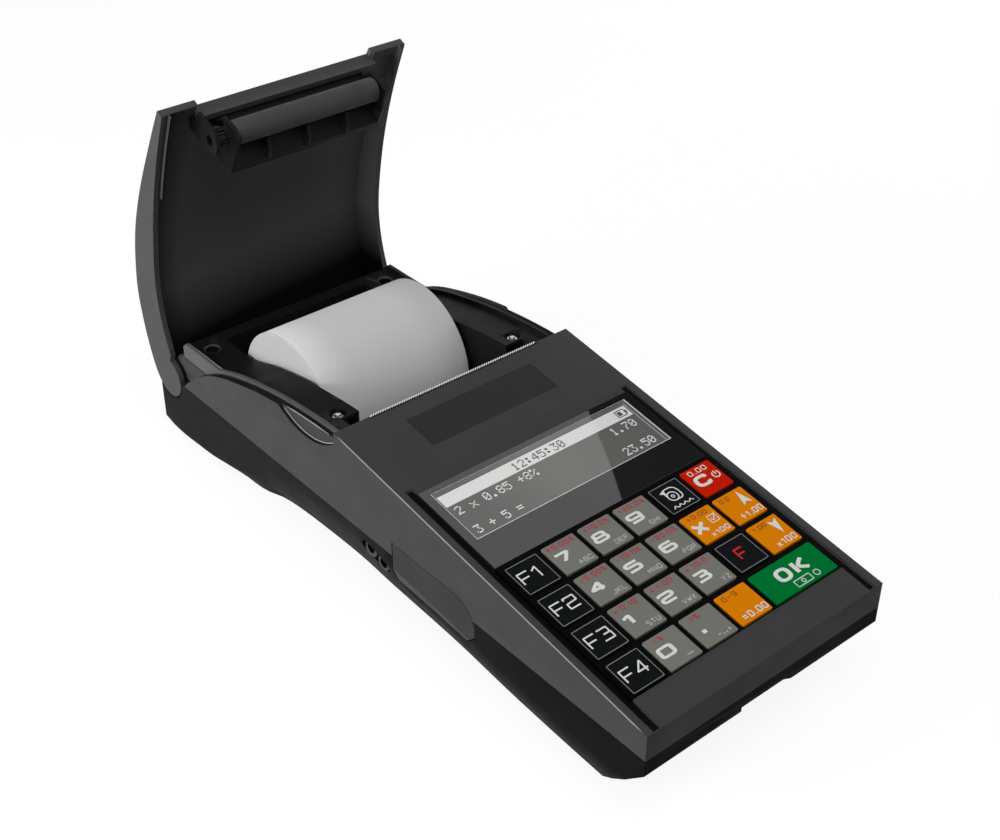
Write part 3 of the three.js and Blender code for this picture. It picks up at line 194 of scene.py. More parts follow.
def plastic(name, code, rough=0.55, specular=0.16, grain=3200, depth=0.000012, vary=0.05, edge=1.35,
            soft=None, shade_along_y=None):
    """Moulded plastic with a spark-eroded grain and uneven gloss, its sharp edges lightened as a painted
    highlight.
    A painted shade along Y is two places along Y and the share of the colour at each."""
    t = Nodes(name)
    color = linear(code)
    cloud = t.noise(38, 4)
    base = t.mix(t.range(cloud, 0.3, 0.7, 0, 1), scaled(color, 1 - vary), scaled(color, 1 + vary))
    speck = t.range(t.noise(grain, 1), 0.35, 0.65, 0, 0.5)
    base = t.mix(speck, base, scaled(color, 1 + 2 * vary))
    # Painted highlight: where pointiness finds a sharp edge, the colour is lightened by the edge factor.
    point = t.add("ShaderNodeNewGeometry").outputs["Pointiness"]
    base = t.mix(t.range(point, 0.53, 0.62, 0, 0.7), base, scaled(color, edge))
    # Painted shade: the colour darkens towards the first place along Y.
    if shade_along_y:
        sep = t.add("ShaderNodeSeparateXYZ")
        t.link(t.place, sep.inputs[0])
        share = t.range(sep.outputs["Y"], *shade_along_y)
        base = t.mix(share, (0.0, 0.0, 0.0, 1.0), base)
    gloss = t.range(t.noise(90, 3), 0.3, 0.7, rough - 0.05, rough + 0.06)
    rounded = t.soft_edge(soft) if soft else None
    return t.surface(base, gloss, t.bump(t.noise(grain, 2), 0.35, depth, rounded),
                     Specular_IOR_Level=specular)


def rubber(name, code, rough=0.8):
    """Dull rubber with a fine even roughness."""
    t = Nodes(name)
    color = linear(code)
    base = t.mix(t.range(t.noise(60, 3), 0.3, 0.7, 0, 1), scaled(color, 0.9), scaled(color, 1.12))
    return t.surface(base, t.range(t.noise(200, 2), 0.3, 0.7, rough - 0.08, rough + 0.08),
                     t.bump(t.noise(1800, 3), 0.4, 0.00002), Specular_IOR_Level=0.2)


def metal(name, code, rough=0.3, lines=(1, 60, 60)):
    """Drawn or ground metal, with fine scratches along one direction."""
    t = Nodes(name)
    color = linear(code)
    scratch = t.noise(220, 3, lines)
    base = t.mix(t.range(scratch, 0.3, 0.7, 0, 1), scaled(color, 0.88), scaled(color, 1.1))
    return t.surface(base, t.range(scratch, 0.3, 0.7, rough - 0.08, rough + 0.1),
                     t.bump(scratch, 0.15, 0.00001), Metallic=1.0)


def ink(name, code, rough=0.5, wear=0.08, specular=0.3):
    """Printed legends: a thin even film with a faint mottle."""
    t = Nodes(name)
    color = linear(code)
    base = t.mix(t.range(t.noise(900, 3), 0.3, 0.7, 0, 1), scaled(color, 1 - wear),
                 scaled(color, 1 + wear / 2))
    return t.surface(base, rough, t.bump(t.noise(2500, 1), 0.1, 0.000005), Specular_IOR_Level=specular)


def gloss(name, code, rough=0.02, vary=0.2):
    """Polished acrylic: deep colour, faint dust and waviness in its gloss."""
    t = Nodes(name)
    color = linear(code)
    base = t.mix(t.range(t.noise(25, 2), 0.3, 0.7, 0, 1), scaled(color, 1 - vary), scaled(color, 1 + vary))
    return t.surface(base, t.range(t.noise(140, 3), 0.3, 0.7, rough * 0.7, rough * 1.4), None,
                     Specular_IOR_Level=0.8)


def paper(name, code):
    """Thermal paper with soft fibres."""
    t = Nodes(name)
    color = linear(code)
    base = t.mix(t.range(t.noise(30, 3), 0.3, 0.7, 0, 1), scaled(color, 0.97), scaled(color, 1.02))
    fibre = t.noise(2600, 3)
    base = t.mix(t.range(fibre, 0.35, 0.65, 0, 0.5), base, scaled(color, 0.95))
    return t.surface(base, 0.85, t.bump(fibre, 0.12, 0.00001), Specular_IOR_Level=0.15,
                     Sheen_Weight=0.05)


def paper_ends(name, code, centre):
    """The ends of the roll: the edges of its many turns, as rings round its axis."""
    t = Nodes(name)
    color = linear(code)
    offset = t.add("ShaderNodeVectorMath", operation="SUBTRACT")
    t.link(t.place, offset.inputs[0])
    offset.inputs[1].default_value = centre
    flat = t.add("ShaderNodeVectorMath", operation="MULTIPLY")
    t.link(offset.outputs[0], flat.inputs[0])
    flat.inputs[1].default_value = (0, 1, 1)
    length = t.add("ShaderNodeVectorMath", operation="LENGTH")
    t.link(flat.outputs[0], length.inputs[0])
    wobble = t.add("ShaderNodeMath", operation="MULTIPLY_ADD")
    t.link(t.noise(60, 2), wobble.inputs[0])
    wobble.inputs[1].default_value = 0.0006
    t.link(length.outputs["Value"], wobble.inputs[2])
    combine = t.add("ShaderNodeCombineXYZ")
    t.link(wobble.outputs[0], combine.inputs[0])
    turns = t.add("ShaderNodeTexNoise")
    turns.inputs["Scale"].default_value = 1500
    t.link(combine.outputs[0], turns.inputs["Vector"])
    fac = turns.outputs["Fac"]
    base = t.mix(t.range(fac, 0.3, 0.7, 0, 1), scaled(color, 0.95), scaled(color, 1.03))
    return t.surface(base, 0.9, t.bump(fac, 0.5, 0.00006), Specular_IOR_Level=0.1)


def board(name):
    """A circuit board with faint traces under its green coat."""
    t = Nodes(name)
    trace = t.range(t.noise(260, 1, (1, 4, 1)), 0.47, 0.53, 0, 1)
    base = t.mix(trace, linear("0f3a20"), linear("1f5a34"))
    return t.surface(base, 0.4, t.bump(trace, 0.2, 0.00003), Specular_IOR_Level=0.4)


def card(name):
    """Brown wound card."""
    t = Nodes(name)
    fibre = t.noise(160, 5, (1, 8, 8))
    base = t.mix(t.range(fibre, 0.3, 0.7, 0, 1), linear("8f7448"), linear("b3976a"))
    return t.surface(base, 0.9, t.bump(fibre, 0.3, 0.00005), Specular_IOR_Level=0.1)


finish = {
    # The base darkens towards its front, at lower Y, as painted shade.
    "base_plastic": plastic("base_plastic", "1f1f1f", 0.65, 0.03, soft=0.0004, shade_along_y=(-0.09, 0.0, 0.42, 1)),
    "case_plastic": plastic("case_plastic", "404040", 0.56, 0.08, soft=0.00035),
    "lid_plastic": plastic("lid_plastic", "484848", 0.56, 0.1, soft=0.00035),
    "cover_plastic": plastic("cover_plastic", "353535", 0.56, 0.1),
    "deck_plastic": plastic("deck_plastic", "151515", 0.5, 0.08),
    "foot_rubber": rubber("foot_rubber", "181818"),
    "battery_wrap": plastic("battery_wrap", "2c3c50", 0.35, 0.3, 400),
    "screw_steel": metal("screw_steel", "c8c8c8", 0.25),
    "display_lens": gloss("display_lens", "242424"),
    "display_panel": gloss("display_panel", "5c5c58", 0.15),
    "bezel_black": plastic("bezel_black", "060606", 0.5, 0.02, 2600, 0.000006),
    "key_mat": rubber("key_mat", "55584f"),
    "key_grey": plastic("key_grey", "7e7f78", 0.5, 0.12, 2600, 0.000006, 0.04, 1.2),
    "key_black": plastic("key_black", "0e1113", 0.5, 0.03, 2600, 0.000006, 0.06, 1.5),
    "key_orange": plastic("key_orange", "f28c00", 0.5, 0.06, 2600, 0.000006, 0.03, 1.1),
    "key_red": plastic("key_red", "d42206", 0.5, 0.02, 2600, 0.000006, 0.03, 1.15),
    "key_green": plastic("key_green", "007e38", 0.5, 0.01, 2600, 0.000006, 0.03, 1.15),
    "circuit_board": board("circuit_board"),
    "chip_black": plastic("chip_black", "1c1c1c", 0.5, 0.3),
    "jack_black": plastic("jack_black", "101010", 0.35, 0.4, 2000),
    "socket_metal": metal("socket_metal", "b8b8b8", 0.3),
    "tear_steel": metal("tear_steel", "dcdcdc", 0.25, (40, 40, 1)),
    "head_metal": metal("head_metal", "c8c0b0", 0.35),
    "spring_steel": metal("spring_steel", "b0b0b0", 0.3),
    "gear_plastic": plastic("gear_plastic", "161616", 0.45, 0.2, 2000, 0.00001),
    "pinion_brass": metal("pinion_brass", "c8a050", 0.25),
    "motor_metal": metal("motor_metal", "9a9a9e", 0.3),
    "frame_steel": metal("frame_steel", "8c8e90", 0.35),
    "shaft_steel": metal("shaft_steel", "b8b8b8", 0.2, (1, 40, 40)),
    "platen_rubber": rubber("platen_rubber", "4a4a4a", 0.7),
    "receipt_paper": paper("receipt_paper", "e2e2e2"),
    "core_card": card("core_card"),
}
slot_of = {part["node"]: part["material_slot"] for part in frame["record"]["subparts"]}
for name, node in nodes.items():
    for entry in node.material_slots:
        entry.material = finish[slot_of[name]]


# Pieces
JOINED = 4e-6                           # metres: closer points are one
EDGE_ANGLE = 32                         # degrees: a sharper edge stays an edge
SUNK = 0.25                             # how much deeper a smaller screw head sits


def place_piece(name, mesh, body, material, smooth=None):
    """Adds a mesh to the scene as a piece of a body; smooth is the angle up to which it is shaded round."""
    mesh.materials.clear()
    mesh.materials.append(material)
    piece = bpy.data.objects.new(name, mesh)
    bpy.context.scene.collection.objects.link(piece)
    if smooth is not None:
        mesh.shade_smooth()
        mesh.set_sharp_from_angle(angle=radians(smooth))
    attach(piece, body)
    return piece


def finished(form, name, body, material, smooth=None, outward=True):
    """Turns a gathered form into a piece, its faces turned outward."""
    if outward:
        bmesh.ops.recalc_face_normals(form, faces=form.faces)
    mesh = bpy.data.meshes.new(name)
    form.to_mesh(mesh)
    form.free()
    return place_piece(name, mesh, body, material, smooth)


def stitch(form, rings):
    """Joins neighbouring rings of points by bands of four-sided faces."""
    for a, b in zip(rings, rings[1:]):
        for i in range(len(a)):
            j = (i + 1) % len(a)
            form.faces.new((a[i], a[j], b[j], b[i]))


def own_form(node):
    """A node's own faces, with the points that lie together joined."""
    form = bmesh.new()
    form.from_mesh(nodes[node].data)
    bmesh.ops.remove_doubles(form, verts=form.verts, dist=JOINED)
    return form


def stand_in(form, node, smooth):
    """The piece that takes a node's place, with the node's body and the finish of its slot."""
    slot = slot_of[node]
    piece = finished(form, node + "_form", node_body[node], finish[slot], smooth, False)
    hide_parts(node)
    return piece


def softened(node, smooth=EDGE_ANGLE, dissolve=None, shrink=None):
    """A node's own form with its facets joined up and its curves shaded smooth."""
    form = own_form(node)
    if dissolve:
        bmesh.ops.dissolve_limit(form, angle_limit=radians(dissolve), verts=form.verts, edges=form.edges)
    if shrink:
        lo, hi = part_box(node)
        mid = (lo + hi) / 2
        for vertex in form.verts:
            vertex.co = Vector((mid.x + (vertex.co.x - mid.x) * shrink,
                                mid.y + (vertex.co.y - mid.y) * shrink, vertex.co.z - SUNK * MM))
    piece = stand_in(form, node, smooth)
    modifier = piece.modifiers.new("even_shading", "WEIGHTED_NORMAL")
    modifier.keep_sharp = True
    modifier.weight = 100
    return piece


def refined(node, bevel, segments=2):
    """A simple node's own form with its edges rounded."""
    form = own_form(node)
    bmesh.ops.dissolve_limit(form, angle_limit=radians(0.6), verts=form.verts, edges=form.edges)
    piece = stand_in(form, node, EDGE_ANGLE)
    modifier = piece.modifiers.new("rounded_edges", "BEVEL")
    modifier.width = bevel * MM
    modifier.segments = segments
    modifier.limit_method = "ANGLE"
    modifier.angle_limit = radians(EDGE_ANGLE)
    modifier.use_clamp_overlap = False
    modifier.harden_normals = True
    return piece


def second_finish(piece, material, chosen):
    """Gives another finish to the faces that the test picks by their corners and their direction."""
    piece.data.materials.append(material)
    index = len(piece.data.materials) - 1
    for face in piece.data.polygons:
        if chosen([piece.data.vertices[v].co for v in face.vertices], face.normal):
            face.material_index = index


def lid_inside_shade():
    """The lid's dull inside, with painted shade that darkens it towards its hinge and its left cheek."""
    t = Nodes("lid_inside_shade")
    color = linear("606060")
    sep = t.add("ShaderNodeSeparateXYZ")
    t.link(t.place, sep.inputs[0])
    slope = t.add("ShaderNodeMath", operation="MULTIPLY_ADD")
    t.link(sep.outputs["X"], slope.inputs[0])
    slope.inputs[1].default_value = -LID_SHADE_SLOPE
    t.link(sep.outputs["Z"], slope.inputs[2])
    low = t.range(slope.outputs[0], hinge.z + LID_SHADE_HEIGHTS[0] * MM, hinge.z + LID_SHADE_HEIGHTS[1] * MM, 0, 1)
    left = t.range(sep.outputs["X"], -INSIDE * MM, -0.031, 0, 1)
    both = t.add("ShaderNodeMath", operation="MULTIPLY")
    t.link(low, both.inputs[0])
    t.link(left, both.inputs[1])
    cloud = t.mix(t.range(t.noise(38, 4), 0.3, 0.7, 0, 1), scaled(color, 0.95), scaled(color, 1.05))
    base = t.mix(both.outputs[0], scaled(color, 0.03), cloud)
    return t.surface(base, t.range(t.noise(90, 3), 0.3, 0.7, 0.55, 0.65),
                     t.bump(t.noise(3200, 2), 0.35, 0.000012), Specular_IOR_Level=0.06)


LID_SHADE_HEIGHTS = (8.0, 30.0)                  # heights over the hinge between which the painted shade on the inside lifts
LID_SHADE_SLOPE = 0.1                    # and how much higher they are per millimetre to the right
LID_OPEN = radians(65)
RIM_INNER = 41.9                        # inner face of the deck's rim
INSIDE = 44.5                           # inner face of the walls
closing = Matrix.Rotation(LID_OPEN, 3, "X")
forms = {}
for node in ("upper_case", "lower_case", "lid_shell", "printer_deck", "platen_bracket", "keypad_bezel",
             "mechanism_frame"):
    forms[node] = softened(node, 20 if node == "printer_deck" else EDGE_ANGLE,
                           0.4 if node == "lid_shell" else None)
for node in ("deck_screw_left", "deck_screw_right"):
    softened(node, 30, None, 0.74)
wall_rear = at(0, 134, 0).y
# Painted light: the deck's left rim, facing the left lamp, is a lighter grey than the case; the right rim keeps
# the deck's black as its shade.
second_finish(forms["printer_deck"], plastic("rim_left_painted_light", "5a5a5a", 0.56, 0.1, soft=0.0003),
              lambda corners, normal: max(c.x for c in corners) < -RIM_INNER * MM)
# Painted shade: the top faces of the walls behind the panel are made near black.
second_finish(forms["upper_case"], plastic("wall_top_shade", "161616", 0.56, 0.06),
              lambda corners, normal: min(abs(c.x) for c in corners) > INSIDE * MM
              and min(c.y for c in corners) > wall_rear and normal.z > 0.35)
# Painted shade: the upper case's front face is darker than the rest of the case.
second_finish(forms["upper_case"], plastic("front_face_shade", "333333", 0.56, 0.08, soft=0.0004),
              lambda corners, normal: normal.y < -0.9 and max(c.y for c in corners) < at(0, 2, 0).y)
# Painted shade: the base's front faces are near black.
second_finish(forms["lower_case"], plastic("base_front_shade", "050505", 0.65, 0.03, soft=0.0004),
              lambda corners, normal: normal.y < -0.6 and max(c.y for c in corners) < at(0, 12, 0).y)
flat = panel.inverted()
# Painted shade: the floors of the grooves beside the keypad are near black.
second_finish(forms["upper_case"], plastic("groove_floor_shade", "0e0e0e", 0.56, 0.04),
              lambda corners, normal: normal.dot(panel_up) > 0.98 and all(
                  -1.3 * MM < (flat @ c).z < -1.1 * MM and abs(c.x) > 40 * MM for c in corners))
# Painted shade on the lid's inside faces.
second_finish(forms["lid_shell"], lid_inside_shade(),
              lambda corners, normal: max(abs(c.x) for c in corners) < (INSIDE + 0.2) * MM
              and ((closing @ normal).z < -0.15 or abs(normal.x) > 0.9 and corners[0].x > 0))
for node, bevel in (("port_cover", 0.3), ("battery_cover", 0.3), ("front_foot_strip", 0.4),
                    ("rear_foot_strip", 0.4), ("display_lens", 0.06)):
    refined(node, bevel)
keys = sorted(n for n in nodes if n.startswith("key_"))
for node in keys:
    refined(node, 0.14, 3)


# Legends: strokes of even width, laid flat on the panel
GLYPHS = {
    "0": [("c", (0, 0), (1, 0), (1, 1), (0, 1))],
    "1": [((0, 0.74), (0.48, 1), (0.48, 0))],
    "2": [((0, 0.82), (0, 1), (1, 1), (1, 0.52), (0, 0.46), (0, 0), (1, 0))],
    "3": [((0, 1), (0.95, 1), (0.95, 0.52), (0.3, 0.52)), ((0.3, 0.52), (1, 0.52), (1, 0), (0, 0))],
    "4": [((0.76, 0), (0.76, 1), (0, 0.28), (1, 0.28))],
    "5": [((1, 1), (0, 1), (0, 0.56), (1, 0.56), (1, 0), (0, 0))],
    "6": [((0.95, 1), (0, 1), (0, 0), (1, 0), (1, 0.56), (0, 0.56))],
    "7": [((0, 1), (1, 1), (0.38, 0))],
    "8": [("c", (0, 0), (1, 0), (1, 0.5), (0, 0.5)), ("c", (0.08, 0.5), (0.92, 0.5), (0.92, 1), (0.08, 1))],
    "9": [((0.05, 0), (1, 0), (1, 1), (0, 1), (0, 0.44), (1, 0.44))],
    "A": [((0, 0), (0.5, 1), (1, 0)), ((0.2, 0.34), (0.8, 0.34))],
    "B": [("c", (0, 0), (1, 0), (0.95, 1), (0, 1)), ((0, 0.52), (0.95, 0.52))],
    "C": [((1, 0.72), (1, 1), (0, 1), (0, 0), (1, 0), (1, 0.28))],
    "D": [("c", (0, 0), (0.9, 0), (1, 0.3), (1, 0.7), (0.9, 1), (0, 1))],
    "E": [((1, 1), (0, 1), (0, 0), (1, 0)), ((0, 0.5), (0.85, 0.5))],
    "F": [((1, 1), (0, 1), (0, 0)), ((0, 0.48), (0.85, 0.48))],
    "G": [((1, 1), (0, 1), (0, 0), (1, 0), (1, 0.5), (0.6, 0.5))],
    "H": [((0, 0), (0, 1)), ((1, 0), (1, 1)), ((0, 0.5), (1, 0.5))],
    "I": [((0, 0), (0, 1))],
    "J": [((1, 1), (1, 0), (0, 0), (0, 0.3))],
    "K": [((0, 0), (0, 1)), ((1, 1), (0.18, 0.48), (1, 0))],
    "L": [((0, 1), (0, 0), (1, 0))],
    "M": [((0, 0), (0, 1), (0.5, 0.35), (1, 1), (1, 0))],
    "N": [((0, 0), (0, 1), (1, 0), (1, 1))],
    "O": [("c", (0, 0), (1, 0), (1, 1), (0, 1))],
    "P": [((0, 0), (0, 1), (1, 1), (1, 0.46), (0, 0.46))],
    "Q": [("c", (0, 0), (1, 0), (1, 1), (0, 1)), ((0.6, 0.3), (1.05, -0.1))],
    "R": [((0, 0), (0, 1), (1, 1), (1, 0.46), (0, 0.46)), ((0.5, 0.46), (1, 0))],
    "S": [((1, 1), (0, 1), (0, 0.52), (1, 0.52), (1, 0), (0, 0))],
    "T": [((0, 1), (1, 1)), ((0.5, 1), (0.5, 0))],
    "U": [((0, 1), (0, 0), (1, 0), (1, 1))],
    "V": [((0, 1), (0.5, 0), (1, 1))],
    "W": [((0, 1), (0.22, 0), (0.5, 0.75), (0.78, 0), (1, 1))],
    "X": [((0, 0), (1, 1)), ((0, 1), (1, 0))],
    "x": [((0, 0), (0.9, 0.7)), ((0, 0.7), (0.9, 0))],
    "Y": [((0, 1), (0.5, 0.45), (1, 1)), ((0.5, 0.45), (0.5, 0))],
    "Z": [((0, 1), (1, 1), (0, 0), (1, 0))],
    "+": [((0, 0.5), (1, 0.5)), ((0.5, 0), (0.5, 1))],
    "-": [((0, 0.5), (1, 0.5))],
    "=": [((0, 0.3), (1, 0.3)), ((0, 0.7), (1, 0.7))],
    "%": [((0.1, 0), (0.9, 1)), ("c", (0, 0.7), (0.3, 0.7), (0.3, 1), (0, 1)),
          ("c", (0.7, 0), (1, 0), (1, 0.3), (0.7, 0.3))],
    "_": [((0, 0.18), (0, 0), (1, 0), (1, 0.18))],
    ".": [((0, 0), (0.34, 0))],
}
NARROW = {".": 0.36, "I": 0.3, "1": 0.72}   # share of the common width that a slim glyph takes
LAYER = 0.0008                              # step in height between marks that cross


def rounded_path(points, radius, closed, steps=4):
    """A path with each of its corners turned into a short curve."""
    out = []
    count = len(points)
    for i, p in enumerate(points):
        p = Vector(p)
        if not closed and i in (0, count - 1):
            out.append(p)
            continue
        before, after = Vector(points[i - 1]) - p, Vector(points[(i + 1) % count]) - p
        r = min(radius, before.length * 0.5, after.length * 0.5)
        a, b = p + before.normalized() * r, p + after.normalized() * r
        for k in range(steps + 1):
            u = k / steps
            out.append(a * (1 - u) ** 2 + p * (2 * u * (1 - u)) + b * u ** 2)
    return out


def ribbon(points, width, closed=False):
    """A flat strip of one width along a path: its two edges, and its faces."""
    count = len(points)
    edges = []
    for i, p in enumerate(points):
        before = points[i - 1] if i or closed else None
        after = points[(i + 1) % count] if i < count - 1 or closed else None
        d1 = (p - before).normalized() if before is not None else (after - p).normalized()
        d2 = (after - p).normalized() if after is not None else d1
        n = Vector((-(d1 + d2).y, (d1 + d2).x))
        n = n.normalized() if n.length > 1e-6 else Vector((-d1.y, d1.x))
        lift = 1 / max(n.dot(Vector((-d1.y, d1.x))), 0.5)
        edges.append((p + n * width / 2 * lift, p - n * width / 2 * lift))
    spans = range(count if closed else count - 1)
    return edges, [(i, (i + 1) % count) for i in spans]


class Print:
    """Gathers flat marks in panel millimetres, then makes one thin piece of them."""

    def __init__(self, n):
        self.n = n
        self.verts, self.lifts, self.faces = [], [], []
        self.layer = 0

    def add(self, points, layer):
        self.verts += points
        self.lifts += [layer * LAYER] * len(points)

    def strip(self, points, width, closed=False, layer=0):
        edges, spans = ribbon([Vector(p[:2]) for p in points], width, closed)
        base = len(self.verts)
        for a, b in edges:
            self.add([a, b], layer)
        for i, j in spans:
            self.faces.append((base + 2 * i, base + 2 * i + 1, base + 2 * j + 1, base + 2 * j))

    def pen(self, points, width, closed=False):
        """A stroke whose straight runs meet in round joints."""
        points = [Vector(p[:2]) for p in points]
        count = len(points)
        for i in range(count if closed else count - 1):
            a, b = points[i], points[(i + 1) % count]
            side = Vector((a.y - b.y, b.x - a.x)).normalized() * width / 2
            self.layer += 1
            self.polygon([a + side, a - side, b - side, b + side], self.layer)
            if i or closed:
                self.layer += 1
                self.disc(a.x, a.y, width / 2, 12, self.layer)

    def polygon(self, points, layer=0):
        base = len(self.verts)
        self.add([Vector(p[:2]) for p in points], layer)
        self.faces.append(tuple(range(base, base + len(points))))

    def rect(self, x0, s0, x1, s1):
        self.polygon([(x0, s0), (x1, s0), (x1, s1), (x0, s1)])

    def outline(self, x0, s0, x1, s1, radius, width):
        self.strip(rounded_path([(x0, s0), (x1, s0), (x1, s1), (x0, s1)], radius, True), width, True)

    def ring(self, x, s, radius, width, start=0.0, sweep=2 * pi, steps=28):
        closed = abs(sweep - 2 * pi) < 1e-6
        count = steps if closed else steps + 1
        self.strip([(x + radius * cos(start + sweep * i / steps), s + radius * sin(start + sweep * i / steps))
                    for i in range(count)], width, closed)

    def disc(self, x, s, radius, sides=20, layer=0):
        self.polygon([(x + radius * cos(2 * pi * i / sides), s + radius * sin(2 * pi * i / sides))
                      for i in range(sides)], layer)

    def text(self, words, x, s, width, height, stroke, space=0.35, corner=0.16, stretch=1.0):
        """Glyphs from x to the right, each width by height, standing on s; stretch thickens the uprights."""
        start, x, width = x, 0.0, width / stretch
        for letter in words:
            if letter == " ":
                x += width * 0.6
                continue
            self.layer = 0
            for path in GLYPHS[letter]:
                closed = path[0] == "c"
                raw = path[1:] if closed else path
                inner = Vector((width - stroke, height - stroke))
                points = [Vector((x + stroke / 2 + px * inner.x, s + stroke / 2 + py * inner.y))
                          for px, py in raw]
                points = rounded_path(points, corner * height, closed)
                base = len(self.verts)
                self.pen(points, stroke, closed)
                for i in range(base, len(self.verts)):
                    self.verts[i] = Vector((start + self.verts[i].x * stretch, self.verts[i].y))
            x += width * NARROW.get(letter, 1) + space * height

    def build(self, name, body, slot, material):
        mesh = bpy.data.meshes.new(name)
        places = [on_panel(v.x, v.y, self.n + lift) for v, lift in zip(self.verts, self.lifts)]
        mesh.from_pydata(places, [], self.faces)
        form = bmesh.new()
        form.from_mesh(mesh)
        for face in form.faces:
            if face.normal.dot(panel_up) < 0:
                face.normal_flip()
        form.to_mesh(mesh)
        form.free()
        return place_piece(name, mesh, body, material)


white_ink = ink("legend_white", "f2f2ee")
pale_ink = ink("legend_pale", "c9c9c4")
line_ink = ink("legend_line", "8f9496")
red_ink = ink("legend_red", "b8344e")
bright_red_ink = ink("legend_bright_red", "d8202a")
brown_ink = ink("legend_brown", "a85a10")

INK = 0.515                             # height of the print over the panel, on the key tops
KEY_WIDTH, KEY_LENGTH = 11.82, 11.59
GAP_X, GAP_Y = 1.948, 2.138
PITCH_X, PITCH = KEY_WIDTH + GAP_X, KEY_LENGTH + GAP_Y
KEY_FRONT = 11.52                       # front edge of the first row, up the slope
KEY_REAR = KEY_FRONT + 4 * PITCH - GAP_Y
ROWS = [
    ["key_f1", "key_7", "key_8", "key_9", "key_feed", "key_clear"],
    ["key_f2", "key_4", "key_5", "key_6", "key_multiply", "key_up"],
    ["key_f3", "key_1", "key_2", "key_3", "key_function", "key_down"],
    ["key_f4", "key_0", "key_decimal", "key_subtotal", "key_ok"],
]
LEFT = -(5 * PITCH_X + KEY_WIDTH) / 2
cells = {}
for r, row in enumerate(ROWS):
    for c, name in enumerate(row):
        x0 = LEFT + c * PITCH_X
        x1 = LEFT + 5 * PITCH_X + KEY_WIDTH if c == len(row) - 1 else x0 + KEY_WIDTH
        s1 = KEY_REAR - r * PITCH
        cells[name] = (x0, s1 - KEY_LENGTH, x1, s1)

